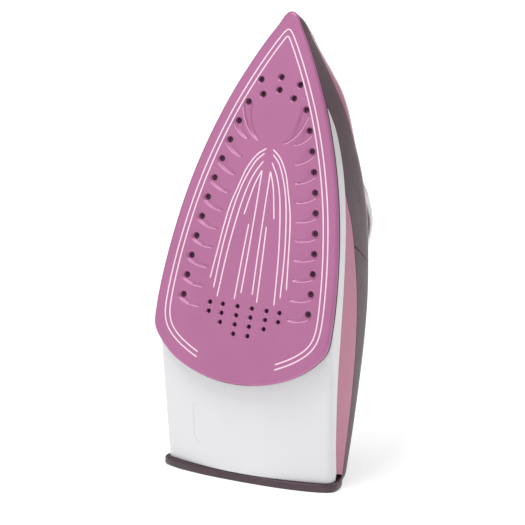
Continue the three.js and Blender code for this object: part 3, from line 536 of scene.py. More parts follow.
def setback(z0, y):
    """How far the nose leans back towards the heel, at plan height z0 and height y."""
    return LEAN_BACK * y ** 2 * np.maximum(0, 1 - (NOSE - z0) / LEAN_REACH) ** 2


def section_point(z0, q):
    """Point of the body skin at plan height z0; q runs 0..8 up the side and 8..9 to the centre plane."""
    x_plan = np.interp(z0, plan_z, plan_x)
    up = np.minimum(q, 8)
    y = row_base(up) * shoulder(z0) + row_lift(up)
    fade = np.minimum(1, x_plan / 38)
    x = (x_plan - row_inset(up) * fade) * (1 - np.clip(q - 8, 0, 1))
    return np.stack([x, y, z0 - setback(z0, y)], axis=-1)


def q_at(z0, y):
    """Section parameter at which the body skin reaches height y."""
    low, high = np.zeros_like(y), np.full_like(y, 8.0)
    for _ in range(26):
        middle = (low + high) / 2
        under = row_base(middle) * shoulder(z0) + row_lift(middle) < y
        low, high = np.where(under, middle, low), np.where(under, high, middle)
    return (low + high) / 2


def skin_at(z0, y):
    """Point of the body's side at plan height z0 and height y above the sole."""
    at = section_point(z0, q_at(z0, y))
    return np.stack([at[..., 0], y, at[..., 2]], axis=-1)


def plan_height(z, y):
    """Plan height whose skin point lies at z once the nose has leant back."""
    z0 = np.array(z, float)
    for _ in range(20):
        z0 = np.minimum(z + setback(z0, y), BODY_HALF[0][1] - 1e-3)
    return z0


def by_arc(start, count):
    """Plan heights from start to the nose, at even steps along the plan's outline."""
    inside = plan[plan[:, 1] > start]
    line = np.vstack([inside[:1] if len(inside) == 0 else inside,
                      [(np.interp(start, plan_z, plan_x), start)]])
    return resample(line, count)[::-1, 1]


def side_grid(low, high, start, end, rows, columns, margin=GAP / 2):
    """Grid of the body's right side between two seams. Ends may slope: (z at the lower, z at the upper)."""
    share = np.linspace(0, 1, rows)[:, None]
    step = np.linspace(0, 1, columns)[None, :]
    first = start[0] + (start[1] - start[0]) * share + margin
    last = end[0] + (end[1] - end[0]) * share - margin
    z = first + (last - first) * step
    y = (low(z) + margin) * (1 - share) + (high(z) - margin) * share
    return skin_at(plan_height(z, y), y)


def panel_piece(name, grid, outer_depth, inner_depth, outward, round_by, mirror=False):
    """A closed shell from a grid of the body skin, between two depths below it."""
    normal = grid_normals(grid)
    if np.sum(normal * outward) < 0:
        normal = -normal
    outer, inner = grid - normal * outer_depth, grid - normal * inner_depth
    if mirror:
        outer, inner = outer * MIRROR, inner * MIRROR
    points, faces = plate_between(outer, inner)
    return shape(name, points, faces, round_by)


# ---- soleplate ----
def sole_loop():
    """Right half of the sole outline from the nose to the tail, then the whole clockwise loop."""
    half = [(x, NOSE - t) for x, t in SOLE_HALF]
    ring = [(0, NOSE)] + half + [(0, NOSE - SOLE_LENGTH)] + [(-x, z) for x, z in reversed(half)]
    curve = catmull(ring, 40, closed=True)
    return np.vstack([curve[: 40 * 15], [(0, NOSE - SOLE_LENGTH)]])


def full_loop(half):
    return np.vstack([half, (half * [-1, 1])[-2:0:-1]])


half_width = smooth([(t, x) for x, t in SOLE_HALF[2:11]])
FIRST_HOLE, HOLE_PITCH, HOLES_A_SIDE = 56.4, 11.87, 11
SIDE_HOLES = [(float(half_width(FIRST_HOLE + HOLE_PITCH * i)) - 13.2 - 0.31 * i,
               NOSE - FIRST_HOLE - HOLE_PITCH * i) for i in range(HOLES_A_SIDE)]
NOSE_HOLES = [(0, 39.3), (12.8, 42.3), (0, 47), (10.1, 50.8)]
REAR_ROWS = [(177, (4.7, 14.4, 22.9)), (182.4, (4.7, 14.4, 22.9)), (187.9, (4.7, 14.4)), (193.5, (4.7,))]
HOLE_R, REAR_HOLE_R = 1.6, 1.3
NOSE_DISH = 0.42
CHANNEL_STEPS = 40
CHANNEL_WIDTH = 3.1 - 2.2 * np.linspace(0, 1, CHANNEL_STEPS)  # half width along the centre line


def channel_line(order, x, z):
    """Centre line of the comma-shaped channel that runs from a side hole inwards and heelwards."""
    if order == 0:
        tail, bend = (x - 10.6, z - 21), (x - 1.5, z - 15)
    else:
        tail = (x - 12 + 4.2 * math.exp((1 - order) / 2.5), z - max(4.8, 10 - 0.8 * order))
        bend = ((x + tail[0]) / 2 + 1.8, (z + tail[1]) / 2 - 1.6)
    s = np.linspace(0, 1, CHANNEL_STEPS)[:, None]
    p0, p1, p2 = np.array([(x, z), bend, tail])
    return p0 * (1 - s) ** 2 + 2 * p1 * s * (1 - s) + p2 * s ** 2


def channel_depth(x, z):
    """How deep the sole's face lies at each point, from the steam channels and the holes' dishes."""
    depth = np.zeros_like(x)
    for order, (hx, hz) in enumerate(SIDE_HOLES):
        line = channel_line(order, hx, hz)
        near = np.nonzero((np.abs(np.abs(x) - hx + 5) < 12) & (z < hz + 5) & (z > hz - 26))
        ax, az = np.abs(x[near]), z[near]
        gap = np.hypot(ax[:, None] - line[:, 0], az[:, None] - line[:, 1]) - CHANNEL_WIDTH
        nearest = gap.argmin(axis=1)
        heelward = np.clip((line[nearest, 1] - az) / np.maximum(CHANNEL_WIDTH[nearest], 0.5), -1, 1) / 2 + 0.5
        edge = np.clip((0.1 - gap.min(axis=1)) / (0.55 + 1.3 * (1 - heelward)), 0, 1)
        deep = CHANNEL_DEPTH * (0.5 + 0.5 * heelward)
        depth[near] = np.maximum(depth[near], deep * eased(edge))
    for hx, t in NOSE_HOLES:
        gap = np.hypot(np.abs(x) - hx, z - NOSE + t) - HOLE_R
        edge = np.clip(1 - gap / 1.0, 0, 1)
        depth = np.maximum(depth, NOSE_DISH * eased(edge))
    return depth


def sole_face():
    half = resample(sole_loop(), 440)[1:-1]
    rows, inner = len(half), 166
    edge = np.array([0, 0.12, 0.35, 0.7, 1.15, 1.7])
    width = half[:, :1]
    offsets = edge[None, :] * np.minimum(1, width / 8)
    middle = np.linspace(-1, 1, inner + 2)[1:-1][None, :] * (width - offsets[:, -1:])
    x = np.concatenate([-width + offsets, middle, (width - offsets)[:, ::-1]], axis=1)
    z = np.repeat(half[:, 1:], x.shape[1], axis=1)
    loop = full_loop(resample(sole_loop(), 600))
    rim = np.full(x.shape, 9.0)
    for r in range(rows):
        near = np.abs(loop[:, 1] - half[r, 1]) < 4
        gaps = np.hypot(x[r][:, None] - loop[near, 0], z[r][:, None] - loop[near, 1])
        rim[r] = gaps.min(axis=1)
    rim[:, 0] = rim[:, -1] = 0
    fall = np.clip(1 - rim / 1.6, 0, 1)
    y = 1.2 * (1 - np.sqrt(1 - fall ** 2)) + channel_depth(x, z)
    columns = x.shape[1]
    front = np.stack([x, y, z], axis=-1).reshape(-1, 3)
    tips = np.array([(0, 1.2, NOSE), (0, 1.2, NOSE - SOLE_LENGTH)])
    points = [front, tips]
    faces = grid_faces(rows, columns)
    nose, tail = len(front), len(front) + 1
    last = (rows - 1) * columns
    for c in range(columns - 1):
        faces.append([c + 1, c, nose])
        faces.append([last + c, last + c + 1, tail])
    right = [r * columns + columns - 1 for r in range(rows)]
    left = [r * columns for r in range(rows - 1, -1, -1)]
    ring = [nose] + right + [tail] + left
    joined_front = np.vstack(points)
    back = joined_front[ring].copy()
    back[:, 1] = FACE_THICK
    base = len(joined_front)
    for k in range(len(ring)):
        ahead = (k + 1) % len(ring)
        faces.append([ring[k], ring[ahead], base + ahead, base + k])
    faces.append(list(range(base, base + len(ring))))
    piece = shape("soleplate_face", np.vstack([joined_front, back]), faces)
    boolean(piece, shape("cutter", *hole_cutters()))
    finish_piece(piece, "sole_face", sharp=50)


def hole_cutters():
    """A turned cutter for every steam hole: a small bevel and a round bore."""
    parts = []

    def drill(x, z, r, start):
        profile = [(0, -2), (r + 0.5, -2), (r + 0.5, start - 0.1), (r, start + 0.45), (r, 4), (0, 4)]
        for side in ((1, -1) if x else (1,)):
            parts.append(moved(lathe(profile, 28), side * x, 0, z))

    for x, z in SIDE_HOLES:
        drill(x, z, HOLE_R, CHANNEL_DEPTH)
    for x, t in NOSE_HOLES:
        drill(x, NOSE - t, HOLE_R, NOSE_DISH)
    for t, row in REAR_ROWS:
        for x in row:
            drill(x, NOSE - t, REAR_HOLE_R, 0)
    return joined(parts)


# raised enamel lines in the middle of the sole: (distance from the axis, distance from the nose)
CENTRE_LINES = [
    [(2.0, 82.2), (7.3, 86.4), (12.5, 94.7), (16.4, 106.5), (19.7, 118.3), (21.6, 130.2), (22.9, 142),
     (25.2, 163.3)],
    [(2.7, 85.2), (7.3, 89.9), (11.2, 97.6), (14.4, 106.5), (17.1, 118.3), (20.3, 142), (22, 168.6)],
    [(2.7, 89.9), (7.3, 97.6), (10.5, 106.5), (13.1, 118.3), (16.4, 142), (18.8, 173.4)],
    [(2.7, 95.3), (5.9, 103.6), (7.9, 112.4), (9.9, 123.1)],
    [(2.7, 95.3), (3.1, 142), (3.7, 169.2)],
    [(5.8, 127.8), (6.4, 142), (7.4, 173.4)],
]
LINE_HALF = 0.42
LINE_RAISE = 0.07


def ribbon(line, half=LINE_HALF):
    """A low raised line along [x, z] points with tapered ends."""
    line = np.asarray(line)
    side = sideways(line)
    steps = np.linalg.norm(np.diff(line, axis=0), axis=1)
    run = np.concatenate([[0], np.cumsum(steps)])
    taper = np.clip(np.minimum(run, run[-1] - run) / 0.6, 0.15, 1)[:, None]
    profile = [(-1, 0.1), (-0.9, -0.7), (-0.5, -1), (0.5, -1), (0.9, -0.7), (1, 0.1)]
    rings = []
    for across, height in profile:
        at = line + side * across * half * taper
        rings.append(level(at, height * LINE_RAISE))
    return stack(list(np.stack(rings, axis=1)))


def edge_line(inset, tip, half):
    """Line parallel to the sole's edge, from the tail round the nose and back to the tail."""
    loop = full_loop(half)
    t = NOSE - loop[:, 1]
    deeper = np.clip((t - 188) / 22, 0, 1)
    along = np.roll(loop, -3, axis=0) - np.roll(loop, 3, axis=0)
    along /= np.linalg.norm(along, axis=1)[:, None]
    line = loop + np.stack([along[:, 1], -along[:, 0]], axis=1) * (inset + 1.8 * deeper ** 2)[:, None]
    right = line[: len(half)]
    keep = (right[:, 0] > 2.6) & ((NOSE - right[:, 1] < 195) | (right[:, 0] > 25.2))
    right = right[keep]
    right = right[np.concatenate([[True], np.diff(right[:, 1]) < 0])]
    points = np.vstack([[(0, NOSE - tip)], right[2::5], right[-1:]])
    both = np.vstack([points[::-1] * [-1, 1], points[1:]])
    line = resample(catmull(both, 4), 640)
    share = np.clip((NOSE - line[:, 1:] - 150) / 20, 0, 1)
    for _ in range(3):
        line = line * (1 - share) + averaged(line, 9) * share
    return line


def averaged(line, reach):
    """The line smoothed by a running mean over reach points to each side, with its ends kept."""
    before = 2 * line[0] - line[reach:0:-1]
    after = 2 * line[-1] - line[-2:-reach - 2:-1]
    long = np.vstack([before, line, after])
    return sum(long[k: k + len(line)] for k in range(2 * reach + 1)) / (2 * reach + 1)


def sole_lines():
    half = resample(sole_loop(), 700)
    parts = [ribbon(edge_line(6.2, 10.7, half)), ribbon(edge_line(9.2, 14.9, half))]
    for line in CENTRE_LINES:
        for side in (1, -1):
            points = [(side * x, NOSE - t) for x, t in line]
            parts.append(ribbon(resample(catmull(points, 16), 90)))
    piece = shape("soleplate_lines", *joined(parts))
    finish_piece(piece, body="root", slot="sole_coat")
    piece.data.materials[0] = MATERIALS["sole_line"]


def painted_channel_highlights():
    """Painted highlight: pale raised ribbons along each steam channel's lower edge, in place of the light
    that edge catches.
    """
    parts = []
    for order, (x, z) in enumerate(SIDE_HOLES):
        line = channel_line(order, x, z)
        side = sideways(line)
        lower = line + side * (CHANNEL_WIDTH + 0.3)[:, None] * np.where(side[:, 1:] < 0, 1, -1)
        for sign in (1, -1):
            parts.append(ribbon((lower * [sign, 1])[4:], 0.28))
    piece = shape("soleplate_painted_channel_highlights", *joined(parts))
    finish_piece(piece, body="root", slot="sole_coat")
    # painted highlight: the ribbons take the pale channel colour instead of the sole's
    piece.data.materials[0] = MATERIALS["painted_channel_highlight"]


def sole_casting():
    half = resample(sole_loop(), 260)
    profile = [(4.6, 2.5), (0.8, 2.5), (0.5, 2.8), (0.5, RIM_TOP - 0.4), (0.8, RIM_TOP),
               (CASTING_INSET, RIM_TOP + 0.2), (CASTING_INSET, CASTING_TOP - 0.8),
               (CASTING_INSET + 0.6, CASTING_TOP)]
    rings = []
    for inset, y in profile:
        ring = drawn_in(full_loop(half), inset)[: len(half)]
        limit = inset * 1.9
        ring[:, 0] = np.maximum(ring[:, 0], 0.25 * np.maximum(0, NOSE - limit - ring[:, 1]).clip(0, 4) ** 0.5)
        ring[:, 1] = np.minimum(ring[:, 1], NOSE - limit)
        ring[[0, -1], 0] = 0
        rings.append(level(full_loop(ring), y))
    piece = shape("soleplate_casting", *stack(rings))
    finish_piece(piece, "sole_casting")


# ---- housing, tank and trim ----
SIDE = np.array([1.0, 0.25, 0.0])


def underside(x, z):
    back = 78.5 - z
    return 13.4 + back * 0.467 - (10 + back * 0.046) * (1 - np.minimum(1, np.abs(x) / 55) ** 2)


def lower_housing():
    heights = np.concatenate([np.linspace(6, 95, 64), by_arc(95, 120)[1:]])
    heights = heights[heights < SKIRT_END]
    under, turn, wall = 28, 12, 10
    lowest = RIM_TOP + GAP
    rings = []
    for z in heights:
        reach = max(0.0, 1 - (z - 6) / 60)

        def lean(y):
            """Height along z once the ring is tilted towards the heel plate."""
            return z + reach * (heel_line(y) - 6)

        corner_y, top = 40.0, 45.0
        for _ in range(12):
            corner_y = max(lowest, float(underside(55, lean(corner_y))))
            top = float(skirt_top(lean(top))) - GAP / 2
        corner_x = float(skin_at(np.array([lean(corner_y)]), np.array([corner_y]))[0, 0])
        room = max(0.2, top - corner_y)
        radius = min(3.8, 0.72 * room, 0.5 + max(0.0, 110 - z) * 0.3)
        lip = np.array([9.0, 6.0, 4.0, 2.4, 1.2, 0.0])
        x = np.concatenate([np.linspace(0, corner_x - radius - 9, under - 5)[:-1], corner_x - radius - lip])
        low = np.full(under, 20.0)
        for _ in range(12):
            low = underside(x, lean(low))
        if z > 92:
            low = np.full(under, corner_y)
        flat = np.stack([x, low, lean(low)], axis=1)
        y_wall = np.linspace(corner_y + radius, top, wall)
        side = skin_at(plan_height(lean(y_wall), y_wall), y_wall)
        a, b, c = flat[-1], np.array([corner_x, corner_y, lean(corner_y)]), side[0]
        s = np.linspace(0, 1, turn + 2)[1:-1, None]
        bend = a * (1 - s) ** 2 + 2 * b * s * (1 - s) + c * s ** 2
        rings.append(np.vstack([flat, bend, side]))
    right = np.stack(rings)
    left = right[:, 1:][:, ::-1] * MIRROR
    grid = np.concatenate([left, right], axis=1)
    rows, columns = grid.shape[:2]
    normal = grid_normals(grid)
    if normal[10, columns // 2, 1] > 0:
        normal = -normal
    inner = grid - normal * SKIN
    centre = columns // 2
    open_from = int(np.argmax(heights > 98))
    solid = np.ones((rows - 1, columns - 1), bool)
    solid[open_from:, centre - under + 4: centre + under - 4] = False
    points, faces = holed_plate(grid, inner, solid)
    piece = shape("lower_housing_shell", points, faces)
    half = resample(sole_loop(), 220)
    for inset, top in ((1.2, RIM_TOP + GAP), (CASTING_INSET - GAP, CASTING_TOP + GAP)):
        edge = drawn_in(full_loop(half), inset)
        keep = edge[:, 1] < NOSE - 3 * inset
        cut_with(piece, stack([level(edge[keep], y) for y in (-5, top)]))
    cut_with(piece, plate_mark())
    finish_piece(piece, "lower_housing", sharp=40)


def holed_plate(outer, inner, solid):
    """Closed plate between two grids, made only over the cells marked solid."""
    rows, columns = outer.shape[:2]
    count = rows * columns
    points = np.vstack([outer.reshape(-1, 3), inner.reshape(-1, 3)])
    faces = []
    for r, c in zip(*np.nonzero(solid)):
        a = r * columns + c
        quad = [a, a + 1, a + columns + 1, a + columns]
        faces.append(quad)
        faces.append([i + count for i in reversed(quad)])
        edges = [((r - 1, c), quad[0], quad[1]), ((r, c + 1), quad[1], quad[2]),
                 ((r + 1, c), quad[2], quad[3]), ((r, c - 1), quad[3], quad[0])]
        for (nr, nc), i, j in edges:
            inside = 0 <= nr < rows - 1 and 0 <= nc < columns - 1 and solid[nr, nc]
            if not inside:
                faces.append([j, i, i + count, j + count])
    used = sorted({i for face in faces for i in face})
    place = {old: new for new, old in enumerate(used)}
    return points[used], [[place[i] for i in face] for face in faces]


def plate_mark():
    """Cutter for the shallow bracket-shaped groove on the rear underside."""
    line = [(-28.4, 49.6), (-30.6, 50.2), (-32, 48.6), (-32.2, 44), (-32, 34), (-31.8, 30.6),
            (-30.4, 28.6), (-27.6, 26.4)]
    path = resample(catmull(line, 8), 50)
    half = 0.28
    side = sideways(path)
    depth = underside(path[:, 0], path[:, 1])
    rings = []
    for across, dy in ((-1.6, -1.0), (1.6, -1.0), (1, 0.16), (0.4, 0.26), (-0.4, 0.26), (-1, 0.16)):
        at = path + side * across * half
        rings.append(level(at, depth + dy))
    return stack(list(np.stack(rings, axis=1)))


def nose_band():
    rows, half_columns = 22, 110
    share = np.linspace(0, 1, rows)[:, None]
    margin = GAP / 2
    start = SEAM[0] + (SEAM[1] - SEAM[0]) * share + margin
    z0 = np.vstack([by_arc(float(s), half_columns)[None, :] for s in start[:, 0]])
    low, high = trim_bottom, band_top
    y = (low(z0) + margin) * (1 - share) + (high(z0) - margin) * share
    for _ in range(14):
        z = z0 - setback(z0, y)
        y = (low(z) + margin) * (1 - share) + (high(z) - margin) * share
    right = skin_at(z0, y)
    right[:, -1, 0] = 0
    left = right[:, :-1] * MIRROR
    grid = np.concatenate([left, right[:, ::-1]], axis=1)
    normal = grid_normals(grid)
    if normal[rows // 2, -5, 0] < 0:
        normal = -normal
    points, faces = plate_between(grid, grid - normal * PANEL)
    piece = shape("nose_band_trim", points, faces, 0.4)
    finish_piece(piece, "nose_band", sharp=40)


def rear_panels():
    grid = side_grid(trim_bottom, deck_edge, (10, 18), (SEAM[0] - 0.3, SEAM[1] - 0.3), 22, 90)
    first, last = grid[:, :1, 2], grid[:, -1:, 2]
    share = (grid[..., 2] - first) / (last - first)
    z = np.maximum(heel_line(grid[..., 1]), first) * (1 - share) + last * share
    y_share = np.linspace(0, 1, 22)[:, None]
    y = (trim_bottom(z) + GAP / 2) * (1 - y_share) + (deck_edge(z) - GAP / 2) * y_share
    grid = skin_at(z, y)
    for name, mirror in (("rear_panel_left", False), ("rear_panel_right", True)):
        piece = panel_piece(name + "_trim", grid, 0, PANEL, SIDE, 0.4, mirror)
        finish_piece(piece, name, sharp=40)


def water_tank():
    margin = GAP / 2
    columns = 170
    z_side = np.linspace(20, 200, 90)
    z0 = np.concatenate([z_side, by_arc(200, columns - 90 + 1)[1:]])[None, :]
    recess, deck_recess = PANEL + GAP, DECK + GAP

    def seat(curve):
        """Heights of a seam along the whole side, at each column's own lean-back."""
        y = curve(z0)
        for _ in range(14):
            y = curve(z0 - setback(z0, y))
        return y

    low = seat(lambda z: np.where(z < SKIRT_END, skirt_top(z), RIM_TOP + GAP) + margin)
    trim_low = np.maximum(seat(lambda z: trim_bottom(z) - margin), low + 0.2)

    def under_deck(z):
        edge = deck_edge(z) - 0.6
        return np.where(z > SEAM[1] - 1, np.minimum(band_top(z), edge), edge) + margin

    # the seams stay apart at the nose, where rows that meet would leave the mesh open
    trim_high = np.maximum(seat(under_deck), trim_low + 0.15)
    deck_low = np.maximum(seat(lambda z: deck_edge(z) - margin), trim_high + 0.1)
    open_strip = z0 > SEAM[1] - 1
    rows, depths = [], []

    def band(a, b, count, depth):
        for s in np.linspace(0, 1, count):
            rows.append(q_at(z0, a * (1 - s) + b * s))
            depths.append(np.broadcast_to(depth, z0.shape))

    band(low, trim_low, 9, 0.0)
    band(trim_low, trim_high, 14, recess)
    deck_here = np.where(z0 < 224.5, deck_recess, 0.0)
    band(trim_high, deck_low, 4, np.where(open_strip, 0.0, recess))
    over = np.concatenate([np.linspace(0, 1, 12), 1 + np.linspace(0, 1, 12)[1:]])
    q_low = q_at(z0, deck_low)
    for s in over:
        q = q_low + (8 - q_low) * s if s <= 1 else 8 + (s - 1) * np.ones_like(q_low)
        rows.append(q)
        depths.append(deck_here)
    q = np.vstack(rows)
    depth = np.vstack(depths)
    right = section_point(np.broadcast_to(z0, q.shape), q)
    right[:, -1, 0] = 0
    normal = grid_normals(right)
    normal = normal * np.sign(np.sum(normal * SIDE))
    normal[-1] = (0, 1, 0)
    broken = np.linalg.norm(normal, axis=2) < 0.5
    for r in range(1, len(normal)):
        normal[r][broken[r]] = normal[r - 1][broken[r]]
    nose_side = normal[:, -1]
    nose_side[:, 0] = 0
    normal[:, -1] = nose_side / np.maximum(np.linalg.norm(nose_side, axis=1)[:, None], 1e-9)
    outer = right - normal * depth[..., None]
    inner = right - normal * TANK_SIDE
    inner[..., 0] = np.maximum(inner[..., 0], 0)
    outer[..., 0] = np.maximum(outer[..., 0], 0)
    inner[-1, :, 0] = outer[-1, :, 0] = 0
    inner[:, -1, 0] = outer[:, -1, 0] = 0
    both = [np.concatenate([g, (g[:-1] * MIRROR)[::-1]], axis=0) for g in (outer, inner)]
    points, faces = plate_between(*both)
    # the rims of the two halves meet on the centre plane, so no wall is left between them
    centred = np.abs(points[:, 0]) < 1e-6
    faces = [face for face in faces if not all(centred[i] for i in face)]
    piece = shape("water_tank_shell", points, faces)
    cut_with(piece, box_part(-90, 90, -30, 140, 22, 320), "INTERSECT")
    cut_with(piece, box_part(-LID_HALF - 0.6, LID_HALF + 0.6, LID_Y - LID_WELL, LID_Y + 20,
                             LID_Z - LID_LONG - 0.6, LID_Z + 2.4))
    cut_with(piece, bore(6.2, 40, 70, MOUTH_Z, 64))
    cut_with(piece, box_part(-5.1, 5.1, LID_Y - 2.7, LID_Y + 4, LID_Z - 6, LID_Z + 2.7))
    shaft_hole = [(0, 10), (4, 10), (4, 61), (8.5, 61), (8.5, 110), (0, 110)]
    cut_with(piece, moved(lathe(shaft_hole, 64), z=DIAL_Z))
    cut_with(piece, box_part(-7.5, 7.5, 40, 90, VALVE_Z - 9.5, VALVE_Z + 6))
    for side in (1, -1):
        x0, x1 = sorted((5.4 * side, 8.4 * side))
        lug = box_part(x0, x1, LID_Y - 4, LID_Y + 1.6, LID_Z - 1.8, LID_Z + 1.8)
        boolean(piece, shape("lug", *lug), "UNION")
    finish_piece(piece, "water_tank", sharp=40)


def body_block(grow):
    """The body filled solid and drawn out by grow millimetres, for cutting what stands on it."""
    heights = np.concatenate([np.linspace(-8, 200, 60), by_arc(200, 70)[1:-2]])
    q = np.concatenate([np.linspace(0, 8, 40), [8.5, 9]])
    right = section_point(heights[:, None], q[None, :])
    right[..., 1] += grow * np.clip(q / 4, 0, 1)
    right[:, :-1, 0] += grow
    right[:, -1, 0] = 0
    left = (right[:, :-1] * MIRROR)[:, ::-1]
    floor = right[:, :1] * np.array([0, 1, 1])
    return stack(list(np.concatenate([floor, right, left], axis=1)))


def deck_cover():
    heights = np.linspace(10, 224 - GAP / 2, 110)
    rows = []
    for s in np.linspace(0, 1, 14):
        low = q_at(heights, deck_edge(heights) + GAP / 2)
        rows.append(low + (8 - low) * s)
    for s in np.linspace(8, 9, 14)[1:]:
        rows.append(np.full_like(heights, s))
    q = np.stack(rows)
    z = np.broadcast_to(heights, q.shape)
    right = section_point(z, q)
    share = np.clip((60 - z) / 50, 0, 1)
    right[..., 2] += share * (heel_line(right[..., 1]) - 10)
    right[-1, :, 0] = 0
    left = (right[:-1] * MIRROR)[::-1]
    grid = np.concatenate([right, left])
    normal = grid_normals(grid)
    if normal[len(grid) // 2, 50, 1] < 0:
        normal = -normal
    points, faces = plate_between(grid, grid - normal * DECK)
    piece = shape("deck_cover_shell", points, faces, 0.4, segments=2)
    cut_with(piece, bore(DIAL_R + 2.6, DIAL_LOW - 0.8, 110, DIAL_Z, 96))
    cut_with(piece, bore(SHAFT_R + 1, 40, 110, DIAL_Z))
    for x, z0, z1, r in ((9, VALVE_Z - 11, VALVE_Z + 8, 4), (18, 27, 52, 5)):
        cut_with(piece, slab(rounded_rect(-x, x, z0, z1, r), [(0, 40), (0, 110)]))
    finish_piece(piece, "deck_cover", sharp=35)


def heel_plate():
    half = [(24, 33.6), (44, 37.8), (53, 42.5), (55.4, 47), (54, 58), (48.4, 72), (43.4, 87), (37, 98),
            (24, 103.5)]
    ring = [(0, 32.4)] + half + [(0, 105)] + [(-x, y) for x, y in reversed(half)]
    loop = resample(catmull(ring + ring[:1], 30), 260)[:-1] * [1.025, 1]
    profile = soft_profile(0, HEEL_THICK, 1.3, 5)
    for sign in (1, -1):
        test = drawn_in(loop, sign)
        if np.ptp(test[:, 0]) < np.ptp(loop[:, 0]):
            inward = sign
    rings = []
    for inset, z in profile:
        edge = drawn_in(loop, inward * inset)
        rings.append(np.stack([edge[:, 0], edge[:, 1] - FLOOR_SHIFT, np.full(len(edge), z)], axis=1) * MM)
    points, faces = stack(rings)
    piece = shape("heel_plate_shell", points, faces, in_row=True)
    finish_piece(piece, "heel_plate", sharp=50)


# ---- handle ----
HANDLE_LINE = catmull([(0, y, z) for y, z, _, _ in HANDLE], 60)


def handle_ring(u, turn, inset):
    """Points of the handle's section at share u of its length and at the given angles from outward."""
    last = len(HANDLE) - 1
    at = np.clip(u * last, 0, last)
    index = np.linspace(0, last, len(HANDLE_LINE))
    y, z = (np.interp(at, index, HANDLE_LINE[:, k]) for k in (1, 2))
    step = 0.02
    dy, dz = (np.interp(np.minimum(at + step, last), index, HANDLE_LINE[:, k])
              - np.interp(np.maximum(at - step, 0), index, HANDLE_LINE[:, k]) for k in (1, 2))
    length = np.hypot(dy, dz)
    ny, nz = -dz / length, dy / length
    sizes = np.array(HANDLE)
    i = np.minimum(at.astype(int), last - 1)
    f = at - i
    ease = f * f * (3 - 2 * f)
    across = sizes[i, 2] * (1 - ease) + sizes[i + 1, 2] * ease
    deep = sizes[i, 3] * (1 - ease) + sizes[i + 1, 3] * ease
    s, c = np.sin(turn), np.cos(turn)
    x = (across - inset) * np.sign(s) * np.abs(s) ** 0.82
    n = (deep - inset) * np.sign(c) * np.abs(c) ** 0.82
    return np.stack([x, y + ny * n, z + nz * n], axis=-1)


def cover_line(y):
    """Height along z of the joint between the grip's top shell and the rear cover."""
    return np.where(y < 112, 84.0, 84 - (y - 112) * 10 / 48)


def handle_grid(first, last, turns, inset, rows=150):
    """Grid of a handle shell; first and last give the share of the length for each angle."""
    share = np.linspace(0, 1, rows)[:, None]
    u = first[None, :] * (1 - share) + last[None, :] * share
    return handle_ring(u, np.broadcast_to(turns, u.shape), inset)


def share_at_cover(turns, shift):
    """Share of the handle's length at which its outer surface crosses the rear cover's joint line."""
    low, high = np.full(len(turns), 0.5), np.full(len(turns), 0.95)
    for _ in range(30):
        middle = (low + high) / 2
        point = handle_ring(middle, turns, 0)
        above = point[:, 2] > cover_line(point[:, 1]) + shift
        low, high = np.where(above, middle, low), np.where(above, high, middle)
    return low


def handle_piece(name, first, last, turns):
    outer = handle_grid(first, last, turns, 0)
    inner = handle_grid(first, last, turns, SKIN + 0.2)
    points, faces = plate_between(outer, inner)
    return shape(name, points, faces, 0.35, segments=2)


def handle():
    quarter = math.pi / 2
    seam = 0.012
    outward = np.linspace(-quarter + seam, quarter - seam, 61)
    inward = np.linspace(quarter + seam, 3 * quarter - seam, 61)
    start, end = np.zeros(61), np.full(61, 0.985)
    split = share_at_cover(outward, 0)
    upper = handle_piece("handle_top_shell", start, split - 0.0006, outward)
    lower = handle_piece("handle_grip_shell", start, end, inward)
    rear = handle_piece("handle_rear_cover", split + 0.0006, end, outward)
    for piece in (lower, rear, upper):
        if piece is not upper:
            points, faces = box_part(-90, 90, -200, 300, -60, HEEL_THICK + GAP)
            boolean(piece, shape("cutter", points * MM, faces, in_row=True))
        if piece is not rear:
            cut_with(piece, body_block(GAP))
    for z in BUTTON_Z.values():
        cut_with(upper, slab(rounded_rect(-9 - GAP, 9 + GAP, z - 7.8, z + 7.8, 4), [(0, 112), (0, 150)]))
    cut_with(upper, box_part(-4.3, 4.3, SELECTOR_Y - 4, SELECTOR_Y + SELECTOR_TRAVEL + 4,
                             SELECTOR_Z - 11, SELECTOR_Z + 12))
    cut_with(upper, tilted(bore(3.4, -15, 15), -quarter, NOZZLE_Y, NOZZLE_Z + 11))
    cut_with(upper, bore(3.3, 110, 150, LAMP_Z))
    for hole in (bore(6.6, -30, 30, segments=64), bore(9.9, 2.3, 20, segments=64)):
        cut_with(rear, tilted(hole, GLAND_TILT, GLAND_Y, GLAND_Z))
    finish_piece(upper, "handle_upper", sharp=38)
    finish_piece(lower, "handle_lower", sharp=38)
    finish_piece(rear, "rear_cover", sharp=38)


# ---- controls and fittings ----
def crowned(loop, low, high, radius, crown, steps=5):
    """A plate whose top edge is well rounded and whose face swells by crown millimetres."""
    rings = []
    for k in range(steps + 1):
        turn = math.pi / 2 * k / steps
        rings.append((radius * (1 - math.cos(turn)), high - radius + radius * math.sin(turn)))
    side = [(0.5, low), (0.1, low + 0.15), (0, low + 0.5)] + rings
    points = [level(drawn_in(loop, inset), y) for inset, y in side]
    middle = loop.mean(axis=0)
    top = drawn_in(loop, side[-1][0])
    for share in (0.85, 0.6, 0.3):
        points.append(level(middle + (top - middle) * share, high + crown * (1 - share ** 2)))
    return stack(points)


